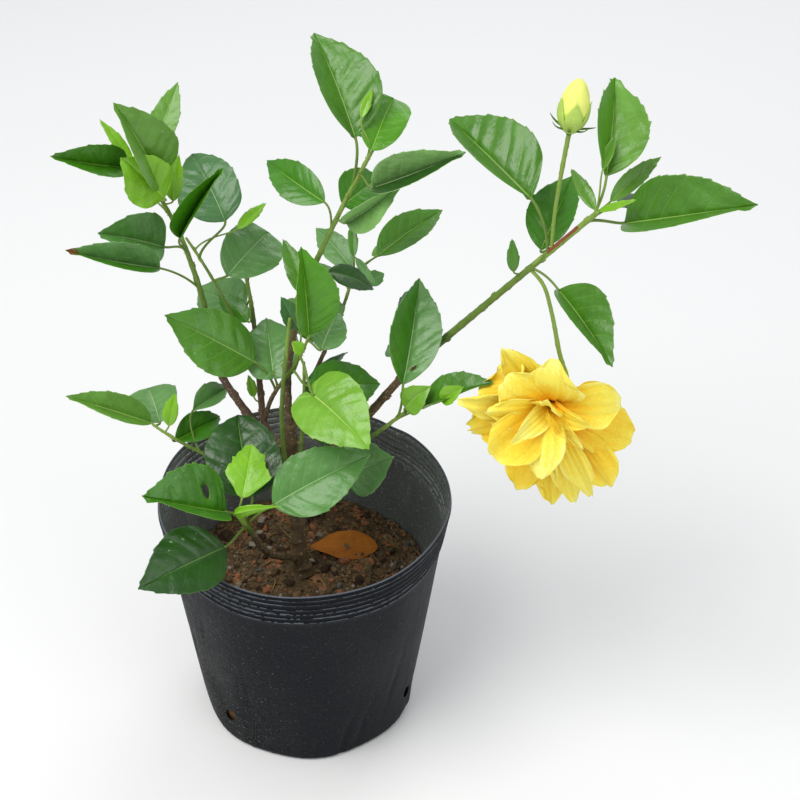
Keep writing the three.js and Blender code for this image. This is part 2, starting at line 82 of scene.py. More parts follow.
# leaves that stand out, by mass of foliage: (name, limb, fraction along it, petiole (azimuth, rise, length),
# blade (azimuth, rise, length), width, turn about the blade's own line, tone, fold, arch)
LEAVES = {
    "left_top": [
        ("A1", "left_bough", 0.984, (-86, 76, 18.2), (-143.6, 67.4, 72), 46, -92, "light", 12, 14),
        ("A2", "left_bough", 0.993, (-153, 54, 37.8), (-134.6, 28.5, 62), 30, -73, "deep", 14, 10),
        ("A3", "left_bough", 0.988, (-76, 38, 18.5), (-147.6, 54.4, 46), 34, -83, "lime", 10, 8),
        ("A4", "left_bough", 0.973, (-24, 38, 8.5), (19.3, 79.3, 34), 12, 68, "lime", 20, 10),
        ("A0", "left_bough", 0.984, (107, 28, 39.9), (60.4, 47.7, 50), 19, 24, "light", 15, 10),
        ("A00", "left_bough", 0.996, (151, 46, 30.0), (154.1, 48.4, 35), 8, -36, "lime", 20, 10),
    ],
    "left_middle": [
        ("A5", "left_bough", 0.781, (-114, 66, 20.7), (1.8, 59.6, 62), 36, 65, "deep", 60, 8),
        ("A9", "left_bough", 0.804, (153, -12, 18.4), (-149.1, 29.1, 52), 42, -67, "fern", 10, 12),
        ("A10", "left_bough", 0.659, (-144, 44, 40.1), (-151.4, 27.6, 70), 34, -65, "sheen", 50, 10),
    ],
    "left_inner": [
        ("A6", "left_inner_shoot", 0.854, (14, 54, 32.5), (120.4, 28.2, 56), 40, -18, "dull", 10, 12),
        ("A7", "left_inner_shoot", 0.673, (14, 22, 9.7), (56.5, 13.7, 48), 40, 27, "sheen", 12, 12),
        ("A8", "left_inner_shoot", 0.907, (13, 24, 32.3), (51.6, 13.0, 30), 8, 30, "lime", 15, 10),
    ],
    "back_left": [
        ("A7b", "back_left_bough", 0.977, (12, 63, 7.8), (47.6, 23.5, 16), 12, 29, "dark", 15, 10),
        ("A11", "back_left_bough", 0.851, (-176, -59, 9.9), (137.5, -4.6, 48), 36, -23, "sheen", 12, 10),
        ("A11b", "back_left_bough", 0.851, (-94, -32, 16.9), (142.6, 23.1, 30), 16, -23, "deep", 20, 10),
    ],
    "left_low": [
        ("A12", "front_shoot", 0.364, (-175, 62, 29.3), (-176.2, 35.0, 72), 44, -41, "mid", 12, 12),
        ("A13", "front_shoot", 0.397, (146, 75, 13.4), (99.8, 20.2, 46), 40, -3, "sheen", 14, 14),
        ("H1", "back_left_bough", 0.316, (-134, 58, 12.9), (128.3, 67.6, 17), 7, -18, "lime", 15, 10),
    ],
    "front_middle": [
        ("C1", "front_shoot", 0.801, (-68, -25, 30.4), (-47.5, -11.6, 58), 48, 29, "fresh", 12, 14),
        ("C4", "front_shoot", 0.645, (-43, -18, 17.0), (23.3, -14.2, 55), 38, 27, "deep", 12, 12),
        ("C8", "front_shoot", 0.981, (-24, -26, 11.3), (71.6, 16.5, 34), 26, 15, "sheen", 12, 12),
        ("H2", "front_shoot", 0.889, (-90, 19, 7.4), (-154.7, 54.0, 13), 9, -68, "lime", 15, 10),
        ("C5", "front_shoot", 1.000, (33, 74, 2.6), (123.2, 83.4, 66), 42, -26, "bright", 16, 12),
    ],
    "centre_middle": [
        ("C7", "centre_bough", 0.352, (-45, 36, 5.8), (167.4, 63.8, 27), 14, -48, "dull", 15, 10),
        ("C6", "centre_bough", 0.444, (80, -12, 17.7), (118.0, 34.9, 44), 15, -14, "mid", 15, 10),
        ("C9", "centre_bough", 0.552, (16, 9, 12.8), (19.5, -32.3, 38), 19, 26, "dark", 10, 16),
    ],
    "back": [
        ("C10", "back_bough", 1.000, (124, 68, 4.4), (128.6, 15.1, 44), 20, -28, "sheen", 10, 14),
        ("C11", "back_bough", 1.000, (-81, 75, 17.7), (95.1, 31.0, 27), 7, -2, "mid", 15, 10),
        ("C12", "back_bough", 0.993, (-8, 46, 24.8), (39.4, 14.8, 60), 29, 32, "mid", 12, 12),
        ("C14", "back_bough", 1.000, (-66, 73, 17.1), (-60.8, -10.8, 30), 6, 21, "sheen", 15, 10),
        ("C13", "back_bough", 0.976, (-31, -4, 12.3), (36.7, 13.9, 15), 12, 32, "sheen", 15, 10),
    ],
    "centre_top": [
        ("D1", "centre_bough", 0.875, (34, 86, 34.9), (116.2, 34.4, 76), 50, -21, "mid", 14, 10),
        ("D2", "centre_bough", 0.992, (-88, 44, 5.0), (72.7, 18.8, 46), 31, 20, "bright", 14, 12),
        ("D2b", "centre_bough", 0.995, (136, 66, 22.3), (66.9, 34.9, 20), 6, 19, "lime", 15, 10),
        ("D4", "centre_bough", 0.919, (-49, -13, 13.9), (-15.3, 31.0, 68), 40, 68, "pale", 55, 10),
    ],
    "centre_upper": [
        ("D3", "centre_bough", 0.728, (145, 74, 19.2), (135.2, 7.7, 56), 25, -40, "deep", 20, 12),
        ("D5", "centre_bough", 0.762, (-44, 11, 9.5), (-19.5, 44.8, 52), 32, 78, "pale", 20, 12),
        ("D6", "centre_bough", 0.822, (99, -41, 11.5), (56.3, 1.5, 44), 34, 35, "deep", 12, 10),
    ],
    "right_upper": [
        ("E1", "right_bough", 0.847, (147, 68, 38.8), (128.8, 14.3, 84), 59, -40, "mid", 10, 12),
        ("E7", "right_bough", 0.859, (109, -30, 18.3), (63.8, 33.3, 56), 36, 15, "deep", 14, 12),
        ("E9", "right_bough", 0.766, (-155, 32, 7.3), (136.5, 82.9, 24), 8, -39, "mid", 10, 10),
    ],
    "right_tip": [
        ("E3", "right_bough", 0.985, (9, 78, 28.7), (83.3, 33.1, 68), 46, -1, "light", 14, 10),
        ("E5", "right_bough", 0.994, (41, 18, 12.3), (42.7, 17.9, 48), 12, 34, "light", 20, 10),
        ("E6", "right_bough", 0.967, (-1, -2, 23.1), (-33.8, 27.2, 94), 54, 63, "mid", 12, 14),
        ("E8", "right_bough", 0.991, (96, 59, 2.7), (115.7, 21.1, 34), 9, -26, "light", 20, 10),
        ("E12", "right_bough", 0.987, (-50, 84, 34.2), (65.3, 33.6, 23), 8, 13, "light", 40, 10),
        ("E11", "right_bough", 0.999, (67, 89, 0.8), (-23.7, 31.0, 27), 5, 50, "lime", 15, 10),
    ],
    "bloom_side": [
        ("E10", "right_bough", 0.793, (-43, -13, 24.5), (-61.9, -14.9, 68), 41, 32, "mid", 12, 14),
    ],
    "right_low": [
        ("F1", "right_low_shoot", 0.918, (-49, 80, 33.4), (80.5, 37.8, 76), 44, 6, "sheen", 22, 8),
        ("F2", "right_low_shoot", 0.985, (-86, 60, 8.6), (-11.1, 51.2, 28), 20, 58, "fresh", 30, 30),
        ("F3", "right_low_shoot", 0.882, (-29, 42, 31.1), (-12.3, 33.2, 56), 31, 37, "mid", 14, 12),
        ("F4", "right_low_shoot", 0.995, (-43, 40, 42.0), (-10.0, 44.2, 20), 13, 54, "lime", 30, 20),
    ],
    "left_tip": [
        ("G1", "left_low_shoot", 0.973, (174, 42, 5.0), (-163.5, 32.3, 66), 26, -36, "light", 14, 12),
        ("G2l", "left_low_shoot", 0.977, (74, -13, 6.8), (110.2, 8.7, 36), 36, -8, "sheen", 12, 12),
        ("G3", "left_low_shoot", 0.905, (28, 61, 6.1), (50.1, 71.7, 26), 11, 34, "lime", 20, 10),
        ("G4", "left_low_shoot", 0.843, (92, -55, 7.4), (46.0, -0.9, 42), 28, 43, "deep", 14, 12),
        ("G5", "left_low_shoot", 0.654, (105, 42, 30.6), (51.4, 1.2, 34), 26, 41, "sheen", 12, 12),
    ],
    "front_low": [
        ("G6", "front_low_shoot", 0.832, (14, 75, 23.8), (104.2, 28.2, 62), 52, -5, "dark", 10, 10),
        ("G7", "front_low_shoot", 0.967, (-28, 77, 17.6), (83.5, 27.0, 40), 30, 10, "lime", 10, 8),
        ("G8", "front_low_shoot", 0.967, (-142, 40, 12.3), (-154.1, 31.7, 66), 60, -56, "deep", 12, 12),
        ("G9", "front_low_shoot", 0.922, (-85, 44, 12.3), (-18.3, 31.9, 36), 26, 43, "lime", 40, 30),
        ("G10", "front_low_shoot", 0.785, (-114, 11, 30.8), (-139.1, 3.1, 70), 46, -35, "dark", 12, 12),
        ("C2", "front_low_shoot", 0.785, (-34, 53, 40.2), (19.6, 20.7, 74), 44, 38, "fern", 14, 12),
    ],
    "right_inner": [
        ("C3", "right_low_shoot", 0.468, (-95, -30, 14.2), (-19.5, 35.6, 46), 40, 58, "sheen", 12, 12),
    ],
}

# ------------------------------------------------------------------ colour
def lin(c, gain=1.0):
    c = np.asarray(c, float) / 255.0
    c = np.where(c <= 0.04045, c / 12.92, ((c + 0.055) / 1.055) ** 2.4) * gain
    return tuple(float(x) for x in np.clip(c, 0, 1))


MATS = {}


def material(name, base, rough=0.5, spec=0.5, vary=0.10, scale=60.0, bump=0.0, bump_scale=400.0, bump_detail=3.0,
             coat=0.0, coat_rough=0.3, sheen=0.0, sss=0.0, second=None, second_mix=0.5, stretch=None, rough_vary=0.0):
    """A procedural finish: base colour drifting between two shades by noise, with a fine noise relief."""
    m = bpy.data.materials.new(name)
    m.use_nodes = True
    nt = m.node_tree
    b = nt.nodes["Principled BSDF"]
    b.inputs["Roughness"].default_value = rough
    b.inputs["Specular IOR Level"].default_value = spec
    b.inputs["Coat Weight"].default_value = coat
    b.inputs["Coat Roughness"].default_value = coat_rough
    b.inputs["Sheen Weight"].default_value = sheen
    if sss:
        b.inputs["Subsurface Weight"].default_value = sss
        b.inputs["Subsurface Radius"].default_value = (0.004, 0.004, 0.0015)
    tc = nt.nodes.new("ShaderNodeTexCoord")
    src = tc.outputs["Object"]
    if stretch:
        mp = nt.nodes.new("ShaderNodeMapping")
        mp.inputs["Scale"].default_value = stretch
        nt.links.new(src, mp.inputs["Vector"])
        src = mp.outputs["Vector"]
    n = nt.nodes.new("ShaderNodeTexNoise")
    n.inputs["Scale"].default_value = scale
    n.inputs["Detail"].default_value = 4.0
    n.inputs["Roughness"].default_value = 0.6
    nt.links.new(src, n.inputs["Vector"])
    ramp = nt.nodes.new("ShaderNodeValToRGB")
    base = np.array(base)
    other = np.array(second) if second is not None else np.clip(base * (1 + vary), 0, 1)
    low = base * (1 - vary)
    lo, hi = (0.5 - 0.5 * (1 - second_mix) * 0.6, 0.5 + 0.5 * (1 - second_mix) * 0.6) if second is not None else (0.3, 0.7)
    ramp.color_ramp.elements[0].position = lo
    ramp.color_ramp.elements[0].color = (*low, 1)
    ramp.color_ramp.elements[1].position = hi
    ramp.color_ramp.elements[1].color = (*other, 1)
    nt.links.new(n.outputs["Fac"], ramp.inputs["Fac"])
    nt.links.new(ramp.outputs["Color"], b.inputs["Base Color"])
    if rough_vary:
        mr = nt.nodes.new("ShaderNodeMapRange")
        mr.inputs["From Min"].default_value = 0.3
        mr.inputs["From Max"].default_value = 0.7
        mr.inputs["To Min"].default_value = max(0.05, rough - rough_vary)
        mr.inputs["To Max"].default_value = min(1.0, rough + rough_vary)
        nt.links.new(n.outputs["Fac"], mr.inputs["Value"])
        nt.links.new(mr.outputs["Result"], b.inputs["Roughness"])
    if bump:
        n2 = nt.nodes.new("ShaderNodeTexNoise")
        n2.inputs["Scale"].default_value = bump_scale
        n2.inputs["Detail"].default_value = bump_detail
        nt.links.new(src, n2.inputs["Vector"])
        bp = nt.nodes.new("ShaderNodeBump")
        bp.inputs["Strength"].default_value = 1.0
        bp.inputs["Distance"].default_value = bump * MM
        nt.links.new(n2.outputs["Fac"], bp.inputs["Height"])
        nt.links.new(bp.outputs["Normal"], b.inputs["Normal"])
    MATS[name] = m
    return m


# leaf tones: upper face, veins, under face. The sheen, dull and fern tones paint the pale blue-grey reflection of the
# sky on a glossy blade into its colour
TONES = {
    "mid": ((72, 126, 28), (140, 178, 84), (122, 158, 96)),
    "light": ((94, 146, 44), (156, 190, 98), (132, 166, 104)),
    "dark": ((34, 76, 18), (96, 136, 58), (108, 144, 88)),
    "dull": ((72, 118, 66), (136, 170, 118), (130, 158, 116)),
    "lime": ((120, 178, 30), (170, 212, 84), (150, 190, 90)),
    "bright": ((76, 140, 10), (144, 188, 66), (128, 168, 92)),
    "deep": ((60, 122, 14), (130, 172, 64), (118, 158, 84)),
    "under": ((112, 146, 100), (146, 174, 126), (126, 156, 110)),
    "sheen": ((94, 142, 74), (156, 188, 130), (124, 158, 104)),
    "fern": ((84, 134, 62), (146, 180, 118), (126, 158, 108)),
    # pale: a painted light and painted sheen, lightening blades that turn away from the key lamp
    "pale": ((124, 170, 94), (172, 202, 142), (130, 162, 108)),
    "fresh": ((114, 168, 46), (172, 206, 100), (140, 178, 100)),
}
for k, (top, vein, under) in TONES.items():
    material("leaf_" + k, lin(top), rough=0.33, spec=0.5, vary=0.16, scale=48, bump=0.6, bump_scale=230, bump_detail=4, coat=0.06, coat_rough=0.2, rough_vary=0.07)
    material("rib_" + k, lin(np.array(top) * .78 + np.array(vein) * .22), rough=0.4, spec=0.45, vary=0.10, scale=60)
    material("vein_" + k, lin(vein), rough=0.5, spec=0.4, vary=0.08, scale=80)
    material("under_" + k, lin(under), rough=0.6, spec=0.3, vary=0.08, scale=70, bump=0.2, bump_scale=520)
material("leaf_brown", lin((122, 74, 42)), rough=0.7, spec=0.25, vary=0.25, scale=200, bump=0.4, bump_scale=500)
material("leaf_edge_pale", lin((176, 186, 96)), rough=0.55, spec=0.35, vary=0.12, scale=200)
material("bark_dark", lin((92, 76, 56)), rough=0.85, spec=0.2, second=lin((118, 100, 74)), second_mix=0.2, scale=160, bump=0.7, bump_scale=420, bump_detail=6)
material("bark_mid", lin((112, 96, 68)), rough=0.8, spec=0.22, second=lin((134, 120, 86)), second_mix=0.2, scale=160, bump=0.6, bump_scale=420, bump_detail=6)
material("bark_purple", lin((98, 74, 66)), rough=0.75, spec=0.25, second=lin((120, 96, 80)), second_mix=0.2, scale=170, bump=0.5, bump_scale=460, bump_detail=5)
material("bark_pale", lin((146, 130, 104)), rough=0.8, spec=0.2, vary=0.18, scale=220, bump=0.5, bump_scale=500)
material("shoot_dark", lin((86, 116, 44)), rough=0.5, spec=0.35, vary=0.14, scale=150, bump=0.25, bump_scale=500)
material("shoot_mid", lin((104, 132, 52)), rough=0.5, spec=0.35, vary=0.12, scale=150, bump=0.25, bump_scale=500)
material("shoot_light", lin((130, 158, 66)), rough=0.48, spec=0.35, vary=0.10, scale=150, bump=0.2, bump_scale=500)
material("shoot_red", lin((134, 74, 48)), rough=0.5, spec=0.35, vary=0.16, scale=200, bump=0.2, bump_scale=500)
PETAL = [(250, 166, 20), (252, 180, 26), (253, 194, 34), (254, 206, 44), (254, 217, 58), (254, 227, 76), (255, 236, 98), (255, 244, 132)]
for i, c in enumerate(PETAL):
    material(f"petal_{i}", lin(c, 0.99), rough=0.6, spec=0.25, vary=0.03, scale=90, bump=0.10, bump_scale=500, sss=0.3)
material("anther", lin((246, 190, 40)), rough=0.7, spec=0.2, vary=0.15, scale=500, bump=0.3, bump_scale=900)
material("bud_lemon", lin((236, 242, 124)), rough=0.55, spec=0.35, vary=0.06, scale=120, bump=0.15, bump_scale=500)
material("bud_lime", lin((202, 226, 92)), rough=0.55, spec=0.35, vary=0.08, scale=120, bump=0.15, bump_scale=500)
material("bud_calyx", lin((178, 208, 96)), rough=0.55, spec=0.35, vary=0.10, scale=160, bump=0.2, bump_scale=500)
material("bud_bract", lin((88, 130, 44)), rough=0.55, spec=0.35, vary=0.12, scale=160, bump=0.2, bump_scale=500)


# ------------------------------------------------------------------ mesh store
TRIANGLES = {}


class Piece:
    def __init__(self, name):
        self.name, self.v, self.q, self.qm, self.t, self.tm, self.n, self.slots = name, [], [], [], [], [], 0, []

    def mat(self, name):
        if name not in self.slots:
            self.slots.append(name)
        return self.slots.index(name)

    def add(self, v, quads=None, qm=None, tris=None, tm=None):
        v = np.asarray(v, float).reshape(-1, 3)
        if quads is not None and len(quads):
            quads = np.asarray(quads, int)
            self.q.append(quads + self.n)
            self.qm.append(np.broadcast_to(np.asarray(qm, int), (len(quads),)).copy())
        if tris is not None and len(tris):
            tris = np.asarray(tris, int)
            self.t.append(tris + self.n)
            self.tm.append(np.broadcast_to(np.asarray(tm, int), (len(tris),)).copy())
        self.v.append(v)
        self.n += len(v)

    def build(self, replaces=(), body="root", smooth=True):
        v = np.concatenate(self.v) * MM
        q = np.concatenate(self.q) if self.q else np.zeros((0, 4), int)
        t = np.concatenate(self.t) if self.t else np.zeros((0, 3), int)
        mi = np.concatenate([*self.qm, *self.tm]) if (self.qm or self.tm) else np.zeros(0, int)
        me = bpy.data.meshes.new(self.name)
        me.vertices.add(len(v))
        me.vertices.foreach_set("co", v.astype(np.float32).ravel())
        loops = np.concatenate([q.ravel(), t.ravel()]).astype(np.int32)
        me.loops.add(len(loops))
        me.loops.foreach_set("vertex_index", loops)
        starts = np.concatenate([np.arange(len(q)) * 4, len(q) * 4 + np.arange(len(t)) * 3]).astype(np.int32)
        me.polygons.add(len(starts))
        me.polygons.foreach_set("loop_start", starts)
        for s in self.slots:
            me.materials.append(MATS[s])
        me.polygons.foreach_set("material_index", mi.astype(np.int32))
        me.polygons.foreach_set("use_smooth", np.full(len(starts), smooth))
        me.update(calc_edges=True)
        me.validate()
        ob = bpy.data.objects.new(self.name, me)
        bpy.context.scene.collection.objects.link(ob)
        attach(ob, body)
        if replaces:
            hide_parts(*replaces)
        TRIANGLES[self.name] = 2 * len(q) + len(t)
        return ob


def unit(v):
    v = np.asarray(v, float)
    return v / np.linalg.norm(v)


def heading(az, rise):
    a, r = math.radians(az), math.radians(rise)
    return np.array([math.cos(r) * math.cos(a), math.cos(r) * math.sin(a), math.sin(r)])


def smooth(t):
    t = np.clip(t, 0, 1)
    return t * t * (3 - 2 * t)


def grid_quads(nu, nv, close_v=False):
    i = np.arange(nu - 1)[:, None]
    j = np.arange(nv if close_v else nv - 1)[None, :]
    j2 = (j + 1) % nv
    a = i * nv + j
    return np.stack([a, i * nv + j2, (i + 1) * nv + j2, (i + 1) * nv + j], -1).reshape(-1, 4)


# ------------------------------------------------------------------ limbs
def limb_line(name):
    L = LIMBS[name]
    n, k = STEPS, len(L["way"]) - 1
    p = point_on(L["on"], L["at"]) if "on" in L else np.array([L["foot"][0], L["foot"][1], SOIL_LEVEL], float)
    way = [heading(*w) for w in L["way"]]
    pts = [p]
    for i in range(n):
        t = (i + 0.5) / n * k
        j = min(int(t), k - 1)
        s = float(smooth(t - j))
        d = unit(way[j] * (1 - s) + way[j + 1] * s)
        p = p + d * L["length"] / n
        pts.append(p)
    return np.array(pts)


LINES = {}


def point_on(name, f):
    pts = LINES[name]
    t = f * (len(pts) - 1)
    j = max(0, min(int(t), len(pts) - 2))
    return pts[j] * (1 - (t - j)) + pts[j + 1] * (t - j)


for _n in LIMBS:
    LINES[_n] = limb_line(_n)


def fine_line(pts, step):
    """Catmull-Rom through the stations, then even steps."""
    p = np.vstack([2 * pts[0] - pts[1], pts, 2 * pts[-1] - pts[-2]])
    t = np.linspace(0, 1, 6, endpoint=False)[:, None]
    out = []
    for i in range(1, len(p) - 2):
        a, b, c, d = p[i - 1], p[i], p[i + 1], p[i + 2]
        out.append(0.5 * ((2 * b) + (c - a) * t + (2 * a - 5 * b + 4 * c - d) * t ** 2 + (3 * b - a - 3 * c + d) * t ** 3))
    q = np.vstack(out + [p[-2]])
    s = np.concatenate([[0], np.cumsum(np.linalg.norm(np.diff(q, axis=0), axis=1))])
    n = max(4, int(s[-1] / step))
    ss = np.linspace(0, s[-1], n + 1)
    return np.stack([np.interp(ss, s, q[:, k]) for k in range(3)], 1), ss


def frames(line, side=None):
    t = np.gradient(line, axis=0)
    t /= np.linalg.norm(t, axis=1)[:, None]
    s = np.array([1.0, 0, 0]) if side is None else np.asarray(side, float)
    if abs(s @ t[0]) > 0.95:
        s = np.array([0, 1.0, 0])
    S, O = [], []
    for k in range(len(t)):
        s = s - t[k] * (s @ t[k])
        s = s / np.linalg.norm(s)
        S.append(s)
        O.append(np.cross(t[k], s))
    return t, np.array(S), np.array(O)


def tube(piece, line, radius, sides, mat, cap=True, relief=None, side=None):
    """A round skin along a line. radius: per station. mat: index, or an array [station-1, side]."""
    t, S, O = frames(line, side)
    a = np.linspace(0, 2 * np.pi, sides, endpoint=False)
    r = np.broadcast_to(np.asarray(radius, float)[:, None], (len(line), sides)).copy()
    if relief is not None:
        r = r + relief
    P = line[:, None, :] + r[:, :, None] * (np.cos(a)[None, :, None] * S[:, None, :] + np.sin(a)[None, :, None] * O[:, None, :])
    q = grid_quads(len(line), sides, True)
    qm = np.broadcast_to(np.asarray(mat), (len(line) - 1, sides)).reshape(-1)
    v = P.reshape(-1, 3)
    tris, tm = [], []
    if cap:
        n = len(v)
        r0, r1 = r[0].mean(), r[-1].mean()
        v = np.vstack([v, line[0] - t[0] * r0 * 0.15, line[-1] + t[-1] * r1 * 0.5])
        e = (len(line) - 1) * sides
        for j in range(sides):
            k = (j + 1) % sides
            tris += [(n, k, j), (n + 1, e + j, e + k)]
            tm += [int(qm[j]), int(qm[-sides + j])]
    piece.add(v, q, qm, tris, tm)


def bezier(p0, p1, p2, p3, n):
    t = np.linspace(0, 1, n)[:, None]
    return p0 * (1 - t) ** 3 + 3 * p1 * t * (1 - t) ** 2 + 3 * p2 * t ** 2 * (1 - t) + p3 * t ** 3


# ------------------------------------------------------------------ leaf blade
OUT_M = np.array([0, .03, .08, .16, .26, .38, .50, .62, .74, .84, .92, .97, 1.0])
OUTLINES = {
    "ovate": [.035, .26, .50, .76, .93, 1.0, .97, .87, .67, .43, .21, .085, .012],
    "round": [.05, .34, .62, .86, .97, 1.0, 1.0, .94, .80, .60, .38, .20, .012],
    "heart": [.06, .44, .76, .96, 1.0, .99, .93, .80, .60, .39, .20, .08, .012],
    "lance": [.05, .20, .40, .66, .86, 1.0, .98, .86, .65, .42, .22, .09, .012],
    "obovate": [.035, .20, .38, .58, .74, .88, .97, 1.0, .96, .84, .62, .36, .012],
    "trunc": [.035, .24, .44, .64, .78, .90, .98, 1.0, .98, .90, .72, .44, .012],
    "lobed": [.03, .22, .36, .54, .80, 1.0, .94, .70, .62, .44, .24, .11, .012],
    "bract": [.12, .30, .50, .75, .95, 1.0, .95, .80, .60, .40, .22, .10, .012],
}


def half_width(m, shape):
    f = np.array(OUTLINES[shape])
    # smooth by cubic through the table
    m = np.clip(m, 0, 1)
    k = np.clip(np.searchsorted(OUT_M, m, side="right") - 1, 0, len(OUT_M) - 2)
    x0, x1 = OUT_M[k], OUT_M[k + 1]
    d = np.gradient(f, OUT_M)
    d[0] = (f[1] - f[0]) / (OUT_M[1] - OUT_M[0])
    h = x1 - x0
    t = (m - x0) / h
    return ((1 + 2 * t) * (1 - t) ** 2 * f[k] + t * (1 - t) ** 2 * h * d[k] + t * t * (3 - 2 * t) * f[k + 1] + t * t * (t - 1) * h * d[k + 1])


def leaf_frame(B, blade, roll):
    X = heading(blade[0], blade[1])
    n0 = unit(np.array([0, 0, 1.0]) - X * X[2])
    a = math.radians(roll)
    N = n0 * math.cos(a) + np.cross(X, n0) * math.sin(a)
    return X, np.cross(N, X), N


def leaf(piece, B, blade, W, roll, tone, fold, arch, shape="ovate", seed=0, teeth=None, tooth=1.0, first_tooth=0.3,
         holes=(), second=None, brown=None, wave=1.0, twist=0.0, curl_edge=0.0, tip_droop=0.0, thick=0.34, bend=0.0, pale_rim=False,
         halves=None):
    rg = np.random.default_rng(1000 + seed)
    L = blade[2]
    X, Y, N = leaf_frame(B, blade, roll)
    nt = teeth if teeth is not None else int(max(3, round(L / 8.5)))
    small = L < 32
    m0 = first_tooth
    base = m0 * (0.5 - 0.5 * np.cos(np.linspace(0, np.pi, 9 if small else 13))) ** 0.9
    rows = [base]
    span = (0.975 - m0) / max(nt, 1)
    for k in range(nt):
        a = m0 + k * span
        rows.append(a + span * np.array([0.0, 0.42, 0.8]))
    rows.append(np.array([0.975, 0.99, 1.0]))
    veins = [] if small else [0.075, 0.17, 0.29, 0.42, 0.55, 0.68, 0.80]
    dv = 0.26 / L + 0.0008
    rows = np.sort(np.concatenate(rows))
    for mv in veins:
        rows = rows[np.abs(rows - mv) > dv * 2.1]
    rows = np.sort(np.concatenate([rows, *[[mv - dv, mv + dv] for mv in veins]])) if veins else rows
    keep = np.concatenate([[True], np.diff(rows) > 0.002])
    m = rows[keep]
    m[0], m[-1] = 0.0, 1.0
    half = [0, .016, .08, .2, .33, .47, .61, .74, .86, .93, .978, 1.0] if W > 26 else ([0, .025, .15, .35, .56, .76, .9, .97, 1.0] if W > 11 else [0, .06, .35, .7, 1.0])
    v = np.array([-x for x in half[:0:-1]] + half)
    M, V = np.meshgrid(m, v, indexing="ij")
    M, V = M.copy(), V.copy()
    drop = np.zeros((len(m) - 1, len(v) - 1), bool)
    for (mc, vc, rm, rv) in holes:
        cm, cv = (M[:-1, :-1] + M[1:, 1:]) / 2, (V[:-1, :-1] + V[1:, 1:]) / 2
        inside = ((cm - mc) / rm) ** 2 + ((cv - vc) / rv) ** 2 < 1
        drop |= inside
        near = np.zeros_like(M, bool)
        kept = np.zeros_like(M, bool)
        for di in (0, 1):
            for dj in (0, 1):
                near[di:len(m) - 1 + di, dj:len(v) - 1 + dj] |= inside
                kept[di:len(m) - 1 + di, dj:len(v) - 1 + dj] |= ~inside
        edge = near & kept
        dm, dvv = (M[edge] - mc) / rm, (V[edge] - vc) / rv
        d = np.maximum(np.hypot(dm, dvv), 1e-6)
        M[edge], V[edge] = mc + dm / d * rm, vc + dvv / d * rv
    a = np.abs(V)
    sg = np.sign(V)
    u = M ** 1.9
    hw = half_width(M, shape) * W / 2
    # left and right halves are never quite alike
    hw = hw * (1 + 0.05 * sg * math.sin(seed * 2.1) + 0.03 * np.sin(M * 7 + seed + sg))
    x = (u + (M - u) * a ** 1.25) * L
    y = hw * V
    if shape == "heart":        # lobes reaching back past the petiole
        x = x - .15 * L * np.exp(-((M - .05) / .09) ** 2) * smooth(a / .55)
    # forward-pointing teeth along the outer part of the margin
    ph = np.clip((M - m0) / span, 0, None)
    fr = ph - np.floor(ph)
    saw = np.where(fr < 0.8, fr / 0.8, (1 - fr) / 0.2)
    zone = (M > m0 - 1e-6) & (M < 0.972)
    size = tooth * .5 * (0.9 + 0.012 * W) * (0.75 + 0.6 * np.sin(ph.astype(int) * 2.3 + seed + sg))
    g = np.clip((a - 0.86) / 0.14, 0, 1) * zone * smooth((M - m0) / 0.12 + 0.35) * saw
    y = y + sg * g * size
    x = x + g * size * 0.55
    # relief: sunk midrib and side veins, raised between them
    z = np.zeros_like(x)
    if veins:
        vv = np.array([-0.02, *veins, 0.92, 1.02])
        k = np.clip(np.searchsorted(vv, M) - 1, 0, len(vv) - 2)
        t = (M - vv[k]) / (vv[k + 1] - vv[k])
        bulge = np.sin(np.pi * np.clip(t, 0, 1)) ** 0.8
        z += 0.013 * W * bulge * np.clip(a * 5, 0, 1) * (1 - a ** 3) * np.clip(hw / (W * 0.3), 0, 1)
    z -= 0.012 * W * np.exp(-(a / 0.05) ** 2)
    fine = sum(np.sin(x * fx + y * fy + p0) for fx, fy, p0 in zip(rg.uniform(.25, .7, 5), rg.uniform(-.7, .7, 5), rg.uniform(0, 6.3, 5)))
    z += 0.0032 * W * fine * np.clip(a * 3, 0, 1)
    # cross-section: each half lifted about the midrib and rolling over outwards
    fl = math.radians(fold)
    ya = np.abs(y)
    droop = 0.16 + 0.06 * math.sin(seed * 1.3)
    if halves:          # the two halves of the blade raised by different amounts
        up = np.where(V > 0, math.acos(halves[0]), math.acos(halves[1]))
        fl = fl * .3 + up * smooth(a / .10) * np.clip(hw / (W * .12), 0, 1)
        ang = fl * (1 - .12 * a) + math.radians(curl_edge) * a ** 2
    else:
        ang = fl * (1 - droop * 2.2 * a * (fold < 35)) + math.radians(curl_edge) * a ** 2
    z = z * np.cos(fl) + ya * np.sin(ang)
    y = np.sign(y) * ya * np.cos(ang)
    # ruffled margin
    p1, p2 = rg.uniform(0, 6.3, 2)
    und = np.sin(M * (9.5 + 2 * math.sin(seed)) + np.where(sg > 0, p1, p2)) + 0.5 * np.sin(M * 21 + np.where(sg > 0, p2, p1))
    z += wave * 0.017 * W * und * a ** 2 * np.clip(M * 5, 0, 1) * (1 - 0.5 * M)
    # twist along the blade
    s = x / L
    if twist:
        tw = math.radians(twist) * s
        y, z = y * np.cos(tw) - z * np.sin(tw), y * np.sin(tw) + z * np.cos(tw)
    # arch, drooping tip, sideways bow
    h = L * math.tan(math.radians(arch)) * 0.25
    z = z + h * 4 * s * (1 - s) - tip_droop * L * np.clip(s - 0.7, 0, 1) ** 2 * 3.0
    y = y + (bend + 0.018 * math.sin(seed * 3.7)) * L * 4 * s * (1 - s)
    P = B + x[..., None] * X + y[..., None] * Y + z[..., None] * N
